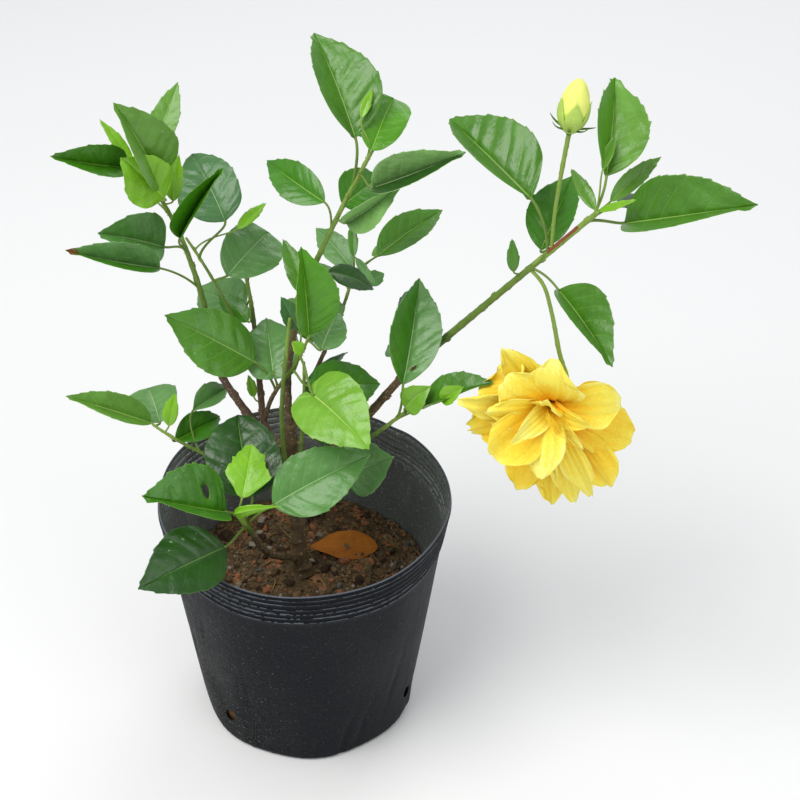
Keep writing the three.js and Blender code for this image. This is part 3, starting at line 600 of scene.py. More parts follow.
    # under face, parted by the blade's thickness, with the midrib standing proud
    dx, dy = np.gradient(P, axis=0), np.gradient(P, axis=1)
    nn = np.cross(dx, dy)
    nn /= np.maximum(np.linalg.norm(nn, axis=-1)[..., None], 1e-9)
    nn *= np.sign((nn * N).sum(-1).mean() or 1)
    th = thick * (1 - 0.55 * a ** 2) + 0.018 * W * np.exp(-(a / 0.035) ** 2) * (1 - 0.7 * s)
    Q = P - nn * th[..., None]
    nr, nc = P.shape[:2]
    quads = grid_quads(nr, nc).reshape(nr - 1, nc - 1, 4)
    flip = (np.cross(X, Y) @ N) > 0          # rows along X, columns along Y
    top, vein, rib, und_m = (piece.mat(x + tone) for x in ("leaf_", "vein_", "rib_", "under_"))
    mt = np.full((nr - 1, nc - 1), top)
    vc = (v[:-1] + v[1:]) / 2
    mc = (m[:-1] + m[1:]) / 2
    # second: one half of the blade painted in another tone, a painted shade on some blades and a painted light on
    # others, for how the light falls across the fold
    if second:
        painted_half_shading = piece.mat("leaf_" + second[0])
        side = (vc < 0) if second[1] < 0 else (vc > 0)
        mt[:, side] = painted_half_shading
    if W > 11:
        mt[:, np.abs(vc) > (.978 if W > 26 else .97)] = rib
    mb = np.full((nr - 1, nc - 1), und_m)
    if W > 11:
        for mv in veins:
            r = np.argmin(np.abs(mc - mv))
            lim = 0.78
            mt[r, np.abs(vc) < lim] = rib
            # ribs on the painted half take the rib of its painted tone
            if second:
                mt[r, side & (np.abs(vc) < lim)] = piece.mat("rib_" + second[0])
            mb[r, np.abs(vc) < lim] = vein
        mid = np.abs(vc) < half[1]
        mt[:, mid] = vein
        mb[:, mid] = vein
    if brown:
        bm = piece.mat("leaf_brown")
        jag = 0.02 * np.sin(vc * 17 + seed)
        sel = mc[:, None] > brown + jag[None, :]
        mt[sel], mb[sel] = bm, bm
    if pale_rim or holes:
        pm = piece.mat("leaf_edge_pale")
        if holes:
            ring = np.zeros_like(drop)
            ring[1:] |= drop[:-1]
            ring[:-1] |= drop[1:]
            ring[:, 1:] |= drop[:, :-1]
            ring[:, :-1] |= drop[:, 1:]
            mt[ring & ~drop & (np.add.outer(np.arange(ring.shape[0]), np.arange(ring.shape[1])) % 3 == 0)] = rib
    keepf = ~drop.reshape(-1)
    n1 = nr * nc
    qt = quads.reshape(-1, 4)[keepf]
    qb = qt[:, ::-1] + n1
    if not flip:
        qt, qb = qt[:, ::-1], qb[:, ::-1]
    # rows run along X and columns along Y: the quads face down as listed, so turn both
    qt, qb = qt[:, ::-1], qb[:, ::-1]
    # walls along every open edge
    F = qt
    e = np.concatenate([F[:, [0, 1]], F[:, [1, 2]], F[:, [2, 3]], F[:, [3, 0]]])
    key = np.minimum(e[:, 0], e[:, 1]) * (2 * n1) + np.maximum(e[:, 0], e[:, 1])
    uq, idx, cnt = np.unique(key, return_index=True, return_counts=True)
    be = e[idx[cnt == 1]]
    wall = np.stack([be[:, 1], be[:, 0], be[:, 0] + n1, be[:, 1] + n1], -1)
    allq = np.concatenate([qt, qb, wall])
    wm = vein if not pale_rim else piece.mat("leaf_edge_pale")
    allm = np.concatenate([mt.reshape(-1)[keepf], mb.reshape(-1)[keepf], np.full(len(wall), wm)])
    piece.add(np.concatenate([P.reshape(-1, 3), Q.reshape(-1, 3)]), allq, allm)
    outline = np.concatenate([P[:, 0], P[::-1, -1]])
    return outline, P


def transport(t, n0):
    n = np.asarray(n0, float)
    out = []
    for k in range(len(t)):
        n = n - t[k] * (n @ t[k])
        n = n / np.linalg.norm(n)
        out.append(n)
    return np.array(out)


# ------------------------------------------------------------------ petals
PET_S = np.array([0, .08, .2, .34, .48, .62, .76, .87, .95, 1.0])
PET_W = {
    "fan": np.array([.13, .17, .30, .52, .74, .91, 1.0, .97, .84, .62]),
    "spoon": np.array([.14, .20, .36, .60, .82, .97, 1.0, .90, .68, .40]),
    "strap": np.array([.30, .36, .52, .74, .92, 1.0, .94, .78, .54, .26]),
}


def petal(piece, root, axis, tip, W, reach, shape="fan", turn=0.0, cup=0.0, ruffle=1.0, tone=0.0, lift=0.0, seed=0, pleat=0.0,
          deep=1.0, wide_tip=0.15, ragged=0.0, sway=0.0):
    rg = np.random.default_rng(500 + seed)
    root, tip, axis = np.asarray(root, float), np.asarray(tip, float), unit(axis)
    d = tip - root
    rho = unit(d - axis * (d @ axis))
    across = np.cross(axis, rho)
    p0 = root + rho * 1.5
    p1 = p0 + axis * reach
    p2 = p1 + (tip - p1) * 0.5 + axis * lift + across * sway
    line = bezier(p0, p1, p2, tip, 160)
    t = np.gradient(line, axis=0)
    t /= np.linalg.norm(t, axis=1)[:, None]
    Nn = transport(t, -rho)
    arc = np.concatenate([[0], np.cumsum(np.linalg.norm(np.diff(line, axis=0), axis=1))])
    Ln = arc[-1]
    arc /= Ln
    ns, nv = (40, 37) if W > 14 else (26, 19)
    s = np.linspace(0, 1, ns)
    s = s * 0.75 + 0.25 * (0.5 - 0.5 * np.cos(np.pi * s))
    v = np.linspace(-1, 1, nv)
    v = np.sign(v) * np.abs(v) ** 0.92
    S, V = np.meshgrid(s, v, indexing="ij")
    a = np.abs(V)
    ph = rg.uniform(0, 6.3, 8)
    se = S * (1 - wide_tip * a ** 2.4) - smooth((S - .72) / .28) * (0.014 * np.sin(4.2 * V + ph[0]) + 0.006 * np.sin(9 * V + ph[1]))
    if ragged:
        se = se - ragged * smooth((S - .7) / .3) * np.abs(np.sin(6.5 * V + ph[2])) * 0.12
    se = np.clip(se, 0, 1)
    pick = lambda arr: np.stack([np.interp(se, arc, arr[:, k]) for k in range(3)], -1)
    C, T, NN = pick(line), pick(t), pick(Nn)
    NN -= T * (NN * T).sum(-1)[..., None]
    NN /= np.linalg.norm(NN, axis=-1)[..., None]
    Y = np.cross(NN, T)
    tr = np.radians(turn) * smooth(S * 1.3)
    N2 = NN * np.cos(tr)[..., None] + Y * np.sin(tr)[..., None]
    Y2 = Y * np.cos(tr)[..., None] - NN * np.sin(tr)[..., None]
    w = np.interp(S, PET_S, PET_W[shape]) * W / 2
    w = w * (1 + 0.035 * np.sin(6 * S + ph[3] + np.sign(V)) * smooth(S * 2))
    off = cup * w * a ** 2 * 0.5
    # folded lengthwise like a half-open book
    off += pleat * w * a
    # fine ribs, fading to the rim, and the ruffled rim itself
    off += 0.30 * np.sin(V * 15 + 1.2 * np.sin(S * 3 + ph[4]) + ph[5]) * smooth(S * 3) * (1 - 0.55 * smooth((S - .75) / .25))
    off += 0.16 * np.sin(V * 31 + ph[7]) * smooth(S * 3)
    rim = smooth((S - .48) / .5)
    off += ruffle * rim * (1.5 * np.sin(5.2 * V + ph[0]) + 1.0 * np.sin(9.5 * V + ph[1] + 2 * S) * a) * (W / 30)
    off += ruffle * 1.2 * (W / 30) * a ** 3 * np.sin(11 * S + ph[2] + 2.1 * np.sign(V)) * smooth(S * 2)
    P = C + Y2 * (w * V * np.sqrt(np.clip(1 - (0.25 * (cup * a + pleat)) ** 2, 0.2, 1)))[..., None] + N2 * off[..., None]
    dx, dy = np.gradient(P, axis=0), np.gradient(P, axis=1)
    nn = np.cross(dy, dx)
    nn /= np.maximum(np.linalg.norm(nn, axis=-1)[..., None], 1e-9)
    nn *= np.sign((nn * N2).sum(-1).mean() or 1)
    Q = P - nn * (0.32 * (1 - .5 * a ** 2) + 0.5 * (1 - S) ** 2)[..., None]
    q = grid_quads(ns, nv)
    # colour bands: orange-yellow foot, deep yellow, paler to the rim, with streaks along the ribs
    sc, vc = (S[:-1, :-1] + S[1:, 1:]) / 2, (V[:-1, :-1] + V[1:, 1:]) / 2
    streak = 0.35 * np.sin(vc * 15 + ph[5]) + 0.25 * np.sin(vc * 33 + ph[1]) + 0.35 * rg.normal(size=(1, vc.shape[1]))
    band = 0.4 + 7.2 * sc ** (0.75 * deep) * 0.86 + tone + streak * (0.35 + 0.5 * (1 - sc)) + 1.1 * smooth((np.abs(vc) - .72) / .28) * smooth(sc * 2) + 0.9 * smooth((sc - .9) / .1)
    band = band + rg.uniform(-0.35, 0.35, band.shape)
    k = np.clip(band, 0, 7).astype(int)
    slots = np.array([piece.mat(f"petal_{i}") for i in range(8)])
    mt = slots[k].reshape(-1)
    mb = slots[np.clip(k - 1, 0, 7)].reshape(-1)
    face_n = np.cross(P[1, nv // 2] - P[0, nv // 2], P[1, nv // 2 + 1] - P[1, nv // 2])
    n1 = ns * nv
    qt = q if (np.cross(P[ns // 2, nv // 2 + 1] - P[ns // 2, nv // 2], P[ns // 2 + 1, nv // 2] - P[ns // 2, nv // 2]) @ N2[ns // 2, nv // 2]) > 0 else q[:, ::-1]
    qb = qt[:, ::-1] + n1
    e = np.concatenate([qt[:, [0, 1]], qt[:, [1, 2]], qt[:, [2, 3]], qt[:, [3, 0]]])
    key = np.minimum(e[:, 0], e[:, 1]) * (2 * n1) + np.maximum(e[:, 0], e[:, 1])
    _, idx, cnt = np.unique(key, return_index=True, return_counts=True)
    be = e[idx[cnt == 1]]
    wall = np.stack([be[:, 1], be[:, 0], be[:, 0] + n1, be[:, 1] + n1], -1)
    piece.add(np.concatenate([P.reshape(-1, 3), Q.reshape(-1, 3)]), np.concatenate([qt, qb, wall]),
              np.concatenate([mt, mb, np.full(len(wall), slots[6])]))


FLOWER = dict(root=(171, -23, 302), throat=(165, -48, 311.5))
PETALS = [  # name, tip, width, reach, shape, turn, cup, ruffle, tone, lift, extras
    ("outer_right", (227, -26, 272), 38, 13, "fan", 8, .10, 1.0, -0.9, 4, {}),
    ("outer_low_right", (215, -30, 233), 36, 13, "fan", -10, -.15, 1.0, -0.9, 4, {}),
    ("right", (215, -36, 313), 36, 17, "fan", -14, .20, 0.4, 0.4, 8, {}),
    ("outer_low_left", (153, -28, 227), 32, 13, "fan", 12, -.1, 1.0, -1.4, 3, {}),
    ("low", (176, -26, 212), 28, 12, "spoon", -8, .1, 1.0, -0.6, 3, {}),
    ("low_front", (191, -34, 221), 22, 15, "spoon", 16, .2, 1.1, 0.5, 4, {}),
    ("outer_left", (113, -28, 280), 28, 12, "fan", 10, .1, 1.6, -1.0, 2, {"ragged": .5}),
    ("left_broad", (119, -32, 314), 38, 13, "fan", -18, .1, 1.2, -0.5, 3, {}),
    ("upper", (167, -44, 353), 48, 17, "spoon", 2, -.25, 0.3, 0.9, 16, {"wide_tip": .3}),
    ("upper_left_tall", (135, -30, 351), 27, 13, "spoon", 14, .35, 1.0, 0.2, 4, {}),
    ("upper_left_back", (147, -30, 345), 20, 12, "strap", -25, .4, 1.4, 0.4, 3, {}),
    ("long_left", (106, -46, 318), 26, 19, "spoon", 22, .3, 0.8, 0.3, 3, {}),
    ("inner_upper_left", (135, -46, 338), 36, 20, "fan", -8, .15, 0.9, 0.1, 8, {}),
    ("inner_left", (124, -52, 315), 24, 22, "spoon", 20, .35, 1.2, -0.1, 5, {}),
    ("fold_left", (130, -56, 280), 38, 24, "fan", 10, .2, 0.7, -0.7, 8, {"pleat": .2}),
    ("pale_left", (141, -64, 298), 18, 27, "strap", 20, .5, 0.6, 1.6, 3, {}),
    ("low_centre", (163, -66, 269), 28, 27, "spoon", -4, -.15, 0.25, 1.3, 6, {}),
    ("low_right_tip", (201, -42, 234), 22, 18, "spoon", -14, .2, 1.2, 0.9, 5, {}),
    ("curl_a", (175, -54, 272), 12, 22, "strap", 35, .6, 1.0, 1.8, 0, {}),
    ("curl_b", (191, -52, 284), 13, 22, "strap", -30, .6, 1.2, 1.2, 2, {}),
    ("curl_c", (175, -50, 254), 10, 21, "strap", -50, .5, .8, 1.6, 0, {}),
    ("inner_right", (193, -50, 302), 20, 24, "spoon", -26, .4, 1.0, -0.2, 3, {}),
    ("inner_top", (162, -56, 328), 24, 24, "spoon", 12, .4, .9, -0.1, 4, {}),
    # the whorl behind, which carries the flower on its far side
    ("back_low", (186, 0, 238), 34, 8, "fan", 6, -.15, 1.2, -0.6, -2, {}),
    ("back_right", (206, 6, 282), 32, 8, "fan", -8, -.1, 1.2, -0.4, -2, {}),
    ("back_top", (168, 6, 308), 32, 8, "fan", 10, -.15, 1.0, 0.0, -2, {}),
    ("back_left", (134, 0, 312), 34, 8, "fan", -6, -.1, 1.3, -0.4, -2, {}),
    ("back_left_low", (134, 0, 264), 34, 8, "fan", 6, -.15, 1.2, -0.8, -2, {}),
]


def build_flower():
    pc = Piece("flower")
    root, throat = np.array(FLOWER["root"], float), np.array(FLOWER["throat"], float)
    axis = unit(throat - root)
    for i, (nm, tip, W, reach, shape, turn, cup, ruf, tone, lift, ex) in enumerate(PETALS):
        petal(pc, root, axis, tip, W, reach, shape, turn, cup, ruf, tone, lift, seed=i, **ex)
    # the funnel of the throat, deep orange-yellow
    fs, fa = 12, 40
    sf = np.linspace(0, 1, fs)
    af = np.linspace(0, 2 * np.pi, fa, endpoint=False)
    e1 = unit(np.cross(axis, (0, 0, 1)))
    e2 = np.cross(axis, e1)
    rad = (2.5 + 6.5 * sf ** 1.3)[:, None] * (1 + .12 * np.sin(5 * af) + .06 * np.sin(11 * af + 1))[None, :]
    F = root + axis * 2 + (axis * 15)[None, None, :] * sf[:, None, None] + rad[..., None] * (np.cos(af)[None, :, None] * e1 + np.sin(af)[None, :, None] * e2)
    G = F + axis * .5 + (np.cos(af)[None, :, None] * e1 + np.sin(af)[None, :, None] * e2) * -.4
    fq = grid_quads(fs, fa, True)
    qs = np.concatenate([fq, fq[:, ::-1] + fs * fa])
    fm = np.where(np.arange(len(fq)) < 6 * fa, pc.mat("petal_0"), pc.mat("petal_2"))
    pc.add(np.concatenate([F.reshape(-1, 3), G.reshape(-1, 3)]), qs, np.concatenate([fm, fm]))
    # a few anthers left among the petaloids
    rg = np.random.default_rng(77)
    am = pc.mat("anther")
    for k in range(16):
        o = throat + np.array([14, 0, -18]) * rg.uniform(.4, 1.5) + rg.normal(size=3) * 3.0
        o[1] = -52 + rg.normal() * 2
        foot = throat + axis * 2 + rg.normal(size=3)
        mid = (foot + o) / 2 + np.array([0, -3, 0])
        ln = bezier(foot, mid, mid, o, 7)
        tube(pc, ln, np.full(7, .22), 5, pc.mat("petal_4"))
        tube(pc, np.array([o + axis * -.8, o, o + axis * .9]), np.array([.35, .8, .35]), 6, am)
    pc.build(["bloom"])
    # green cup behind the petals
    cal = Piece("flower_calyx")
    g0, g1 = cal.mat("bud_calyx"), cal.mat("bud_bract")
    end = LINES["flower_stalk"][-1]
    back = root - axis * 7
    ln = bezier(end, end + unit(end - LINES["flower_stalk"][-3]) * 16, back - axis * 10, back, 24)
    tube(cal, ln, np.linspace(1.65, 2.3, 24), 14, cal.mat("shoot_light"))
    tube(cal, bezier(back - axis, back + axis * 3, root - axis * 2, root + axis * 3, 12), np.array([2.4, 3.4, 4.4, 5.2, 5.8, 6.2, 6.4, 6.4, 6.3, 6.0, 5.6, 5.0]), 20, g0)
    side = unit(np.cross(axis, (0, 0, 1)))
    oth = np.cross(axis, side)
    for k in range(5):
        a = 2 * np.pi * k / 5 + .3
        rho = math.cos(a) * side + math.sin(a) * oth
        sepal(cal, root - axis * 2 + rho * 5.6, unit(axis * .9 + rho * .7), rho, 17, 9, g0, .35)
    for k in range(7):
        a = 2 * np.pi * k / 7
        rho = math.cos(a) * side + math.sin(a) * oth
        sepal(cal, back + rho * 2.4, unit(axis * .35 + rho), rho, 11, 2.6, g1, .5)
    cal.build()


def sepal(pc, base, d, out, length, width, mat, bow):
    """A small pointed green lobe that bows outwards from its base and back in."""
    ns, nv = 12, 7
    s = np.linspace(0, 1, ns)[:, None]
    v = np.linspace(-1, 1, nv)[None, :]
    sd = unit(np.cross(d, out))
    n = unit(np.cross(sd, d))
    if n @ out < 0:
        n = -n
    w = np.interp(s, [0, .2, .5, .8, 1], [.8, 1, .85, .45, .03]) * width / 2
    P = base + d * (s * length)[..., None] + sd * (w * v)[..., None] + n * ((bow * length * .5 * np.sin(np.pi * s * .8) * (1 + 0 * v)) - w * v ** 2 * .45)[..., None]
    Q = P - n * .35
    q = grid_quads(ns, nv)
    if np.cross(P[1, 3] - P[0, 3], P[0, 4] - P[0, 3]) @ n > 0:
        q = q[:, ::-1]
    n1 = ns * nv
    qb = q[:, ::-1] + n1
    e = np.concatenate([q[:, [0, 1]], q[:, [1, 2]], q[:, [2, 3]], q[:, [3, 0]]])
    key = np.minimum(e[:, 0], e[:, 1]) * (2 * n1) + np.maximum(e[:, 0], e[:, 1])
    _, idx, cnt = np.unique(key, return_index=True, return_counts=True)
    be = e[idx[cnt == 1]]
    wall = np.stack([be[:, 1], be[:, 0], be[:, 0] + n1, be[:, 1] + n1], -1)
    pc.add(np.concatenate([P.reshape(-1, 3), Q.reshape(-1, 3)]), np.concatenate([q, qb, wall]), mat)


def build_bud():
    pc = Piece("bud_petals")
    line = LINES["bud_stalk"]
    base, d = line[-1], unit(line[-1] - line[-3])
    L, R = 35.0, 9.3
    side = unit(np.cross(d, (0, 1, 0)))
    oth = np.cross(d, side)
    U = np.array([0, .03, .08, .15, .24, .34, .44, .54, .64, .74, .83, .9, .95, .98, 1])
    Rr = np.array([.30, .42, .58, .76, .90, .98, 1, .98, .92, .81, .66, .52, .38, .25, .02])
    u = np.linspace(0, 1, 60)
    r = np.interp(u, U, Rr)
    r = np.convolve(np.pad(r, 3, mode="edge"), np.ones(7) / 7, "valid")
    r[0], r[-1] = .3, .03
    a = np.linspace(0, 2 * np.pi, 60, endpoint=False)
    A, Um = np.meshgrid(a, u)
    sp = (A * 5 + Um * 7.5) / (2 * np.pi)
    fr = sp - np.floor(sp)
    lap = (fr - .5) * .10 * np.clip((Um - .25) * 3, 0, 1) * (1 - Um * .3)
    rr = r[:, None] * R * (1 + lap) + 0.12 * np.sin(A * 30 + Um * 20) * np.clip(Um * 3, 0, 1) * (1 - Um)
    P = base + d * (Um * L)[..., None] + side * (rr * np.cos(A))[..., None] + oth * (rr * np.sin(A))[..., None]
    q = grid_quads(60, 60, True)
    m = np.where(Um[:-1] > .42, pc.mat("bud_lemon"), pc.mat("bud_lime")).reshape(-1)
    if np.cross(P[31, 0] - P[30, 0], P[30, 1] - P[30, 0]) @ (P[30, 0] - base - d * (Um[30, 0] * L)) > 0:
        q = q[:, ::-1]
    n = 3600
    pts = np.vstack([P.reshape(-1, 3), base, base + d * L * 1.004])
    tri = []
    for j in range(60):
        k = (j + 1) % 60
        tri += [(n, k, j), (n + 1, 59 * 60 + j, 59 * 60 + k)]
    pc.add(pts, q, m, tri, pc.mat("bud_lemon"))
    pc.build(["bud"])
    cal = Piece("bud_calyx")
    g0, g1 = cal.mat("bud_calyx"), cal.mat("bud_bract")
    ns, nv = 26, 13
    for k in range(5):
        a0 = 2 * np.pi * (k + .25) / 5
        s = np.linspace(0, 1, ns)[:, None]
        v = np.linspace(-1, 1, nv)[None, :]
        hgt = s * (.65 + .03 * math.sin(k * 3.1))
        wa = np.interp(s, [0, .35, .5, .75, 1], [.64, .66, .60, .38, .015])
        A = a0 + wa * v
        rad = np.interp(hgt + 0 * v, u, r) * R + .55 + .30 * np.sin(np.pi * s) + .25 * np.cos(v * 9) * (1 - s) * .5
        rad = rad + .9 * smooth((s - .85) / .15)
        P = base + d * ((hgt + 0 * v) * L)[..., None] + side * (rad * np.cos(A))[..., None] + oth * (rad * np.sin(A))[..., None]
        ax = base + d * ((hgt + 0 * v) * L)[..., None]
        out = (P - ax) / np.linalg.norm(P - ax, axis=-1)[..., None]
        Q = P - out * .5
        q = grid_quads(ns, nv)
        if np.cross(P[1, 6] - P[0, 6], P[0, 7] - P[0, 6]) @ out[0, 6] > 0:
            q = q[:, ::-1]
        n1 = ns * nv
        qb = q[:, ::-1] + n1
        e = np.concatenate([q[:, [0, 1]], q[:, [1, 2]], q[:, [2, 3]], q[:, [3, 0]]])
        key = np.minimum(e[:, 0], e[:, 1]) * (2 * n1) + np.maximum(e[:, 0], e[:, 1])
        _, idx, cnt = np.unique(key, return_index=True, return_counts=True)
        be = e[idx[cnt == 1]]
        wall = np.stack([be[:, 1], be[:, 0], be[:, 0] + n1, be[:, 1] + n1], -1)
        cal.add(np.concatenate([P.reshape(-1, 3), Q.reshape(-1, 3)]), np.concatenate([q, qb, wall]), g0)
    for k in range(7):
        a = 2 * np.pi * k / 7 + .5
        rho = math.cos(a) * side + math.sin(a) * oth
        up = .75 if k not in (3, 5) else .25
        sepal(cal, base + d * 1.2 + rho * 2.6, unit(d * up + rho), rho, 13.5, 2.6, g1, .35 if up > .5 else .1)
    tube(cal, np.array([base - d * 2, base - d * .5, base + d * 1.5, base + d * 3.2]), np.array([1.6, 2.3, 3.4, 3.9]), 18, g1)
    cal.build()


# ------------------------------------------------------------------ stems and boughs with their bark
def build_limbs():
    for li, (name, L) in enumerate(LIMBS.items()):
        rg = np.random.default_rng(300 + li)
        pc = Piece(name + "_skin")
        line, ss = fine_line(LINES[name], 1.1)
        n = len(line)
        f = ss / ss[-1]
        R = L["r"][0] + (L["r"][1] - L["r"][0]) * f
        if L.get("flare"):
            R = R * (1 + L["flare"] * np.exp(-f * L["length"] / 7))
        sides = 22 if R[0] > 2.4 else 16
        b0, b1 = L["bark"]
        barky = 1 - smooth((f - b0) / max(b1 - b0, 1e-3))
        a = np.linspace(0, 2 * np.pi, sides, endpoint=False)[None, :]
        S = ss[:, None]
        rel = np.zeros((n, sides))
        for _ in range(9):      # long fissures
            k = rg.integers(2, 9)
            rel += rg.uniform(.3, 1) * np.sin(a * k + S * rg.uniform(-.12, .12) + rg.uniform(0, 6.3)) * .035 * R[:, None] * .6
        for _ in range(10):     # roughness
            rel += rg.uniform(.3, 1) * np.sin(a * rg.integers(1, 11) + S * rg.uniform(.5, 2.6) + rg.uniform(0, 6.3)) * .016 * R[:, None]
        rel *= (0.18 + 0.82 * barky)[:, None]
        if L.get("flare"):      # ribs running into the root flare
            rel += 0.9 * np.exp(-S / 6) * np.cos(a * 4 + .7)
        for _ in range(int(ss[-1] / 7)):    # corky pores
            s0, a0 = rg.uniform(0, ss[-1]), rg.uniform(0, 6.28)
            da = np.angle(np.exp(1j * (a - a0)))
            rel += .22 * np.exp(-((S - s0) / .9) ** 2 - (da * R[:, None] / 1.0) ** 2)
        # swollen joints where leaves stand or once stood
        nodes, s0 = [], rg.uniform(6, 12)
        turn = rg.uniform(0, 6.28)
        while s0 < ss[-1] - 3:
            nodes.append((s0, turn))
            s0 += rg.uniform(11, 19) * (1.1 - .35 * s0 / ss[-1])
            turn += 2.4
        if name not in ("flower_stalk", "bud_stalk"):
            for s1, a0 in nodes:
                da = np.angle(np.exp(1j * (a - a0)))
                rel += .10 * R[:, None] * np.exp(-((S - s1) / 1.8) ** 2)
                rel += (.28 * R[:, None] + .2) * np.exp(-((S - s1 + .6) / 1.5) ** 2 - (da / .55) ** 2)
        else:                   # the stalk is jointed and thickens toward its end
            s1 = ss[-1] * .72
            R = R * (1 + .12 * np.exp(-((ss - s1) / 2.2) ** 2))
        q = rg.uniform(size=(n - 1, sides))
        fc = (f[:-1] + f[1:]) / 2
        bk = (1 - smooth((fc - b0) / max(b1 - b0, 1e-3)))[:, None]
        streak = .05 * np.sin(a * 3 + ss[:-1, None] * .2) + .06 * np.sin(ss[:-1, None] * .35 + a * 2) + .03 * (rg.uniform(size=(n - 1, sides)) - .5)
        k = bk + streak
        purple = name in ("left_bough", "back_left_bough", "left_inner_shoot")
        m = np.full((n - 1, sides), pc.mat("shoot_light" if name.endswith("stalk") else "shoot_mid"))
        if not name.endswith("stalk"):
            tipward = fc[:, None] + streak * .5
            m[(tipward > .82)] = pc.mat("shoot_light")
            m[(k > .22)] = pc.mat("shoot_dark")
            m[(k > .48)] = pc.mat("bark_mid")
            m[(k > .78)] = pc.mat("bark_purple" if purple else "bark_dark")
            pal = (k > .48) & (q < .07)
            m[pal] = pc.mat("bark_pale")
        if name == "right_bough":   # a reddish strip on the sunny side near the tip
            _, Sr, Or = frames(line, (1, 0, 0))
            kr, dr = int(.9 * n), np.array([-.6, -.35, .72])
            red = (fc[:, None] > .85) & (fc[:, None] < .945) & (np.abs(np.angle(np.exp(1j * (a - math.atan2(dr @ Or[kr], dr @ Sr[kr]))))) < .85)
            m[red] = pc.mat("shoot_red")
        tube(pc, line, R, sides, m, relief=rel, side=(1, 0, 0))
        # resting buds in the leaf joints
        if not name.endswith("stalk"):
            t, Sd, Ot = frames(line, (1, 0, 0))
            for s1, a0 in nodes:
                i = min(int(s1 / 1.1) + 1, n - 2)
                if f[i] < .12 and L.get("flare"):
                    continue
                o = Sd[i] * math.cos(a0) + Ot[i] * math.sin(a0)
                c = line[i] + o * R[i] * .95
                dd = unit(t[i] + o * .7)
                h = .6 + .22 * R[i]
                tube(pc, np.array([c, c + dd * h * .5, c + dd * h, c + dd * h * 1.5]), np.array([.55, .75, .5, .12]) * (.4 + .2 * R[i]), 7, m[min(i, n - 2), 0])
        rep = LIMB_NODES.get(name, [name]) + (["right_branch"] if name == "right_bough" else [])
        pc.build(sorted(set(rep)))


# ------------------------------------------------------------------ leaves in their masses
EXTRA = {       # particulars of single leaves; halves: how flat the left and right half of a blade lie; second: a tone painted on one half, painted shade on some blades and painted light on others
    "A1": dict(halves=(.45, 1)), "A2": dict(halves=(.4, .85)), "A3": dict(wave=2.6), "A5": dict(halves=(.5, .45)),
    "A6": dict(shape="round"), "A7": dict(shape="trunc"), "A9": dict(halves=(.6, .9)), "A10": dict(halves=(.3, .9), second=("deep", 1), brown=.93),
    "A13": dict(shape="heart"), "C1": dict(shape="heart"), "C5": dict(halves=(.3, 1)), "C12": dict(halves=(1, .75)),
    "D1": dict(halves=(.4, 1), second=("mid", 1)), "D2": dict(shape="trunc", tooth=.4), "D3": dict(shape="ovate"), "D4": dict(halves=(.85, .4), second=("dark", -1)),
    "D5": dict(halves=(.25, .75)), "E1": dict(halves=(.15, 1)), "E3": dict(halves=(.3, 1), tooth=1.6, second=("bright", 1)), "E6": dict(halves=(1, .2)),
    "E7": dict(halves=(1, .7)), "E10": dict(halves=(.95, .2)), "F1": dict(halves=(.6, .95), second=("deep", 1), holes=[(.31, -.25, .035, .12)]),
    "F3": dict(halves=(1, .4)), "G1": dict(halves=(.7, .8)), "G2l": dict(shape="trunc"), "G4": dict(halves=(.9, .6)), "G5": dict(halves=(.8, .4)),
    "G6": dict(shape="round"), "G7": dict(shape="lobed", teeth=5, tooth=2.6), "G8": dict(halves=(.08, 1), tooth=1.6, holes=[(.475, -.41, .05, .17)]),
    "G9": dict(curl_edge=60), 
}
TWIGS = Piece("leaf_stalks")


def leaf_stalk(P0, limb_dir, B, blade_dir, r0, r1, mat, seed):
    """Petiole from the limb to the blade, with its swollen ends and two small stipules."""
    d = B - P0
    ln = np.linalg.norm(d)
    a = unit(unit(d) * .8 + limb_dir * .45)
    line = bezier(P0, P0 + a * ln * .42, B - blade_dir * min(ln * .35, 7), B + blade_dir * .8, max(8, int(ln / 1.6)))
    f = np.linspace(0, 1, len(line))
    r = r0 + (r1 - r0) * f + .28 * r0 * np.exp(-(f * ln / 2.0) ** 2) + .18 * r0 * np.exp(-((1 - f) * ln / 2.2) ** 2)
    tube(TWIGS, line, r, 10, TWIGS.mat(mat))
    if ln > 7:
        rg = np.random.default_rng(seed)
        sd = unit(np.cross(a, limb_dir) + 1e-3)
        for s in (-1, 1):
            b = P0 + sd * s * r0
            e = b + unit(limb_dir * .9 + sd * s * .5 + a * .3) * rg.uniform(2.2, 4.0)
            tube(TWIGS, np.array([b, (b + e) / 2 + limb_dir * .4, e]), np.array([.30, .22, .06]), 5, TWIGS.mat("shoot_light"))


def place(piece, row, seed, **ex):
    name, limb, at, pet, blade, W, roll, tone, fold, arch = row
    line = LINES[limb]
    P0 = point_on(limb, at)
    tdir = unit(point_on(limb, min(1, at + .04)) - point_on(limb, max(0, at - .04)))
    B = P0 + heading(pet[0], pet[1]) * pet[2]
    X = heading(blade[0], blade[1])
    r = .55 + .009 * W
    pm = "shoot_light" if tone in ("lime", "light", "bright") else "shoot_mid"
    leaf_stalk(P0, tdir, B, X, r, r * .85, pm, seed)
    return leaf(piece, B, blade, W, roll, tone, fold, arch, seed=seed, **ex)


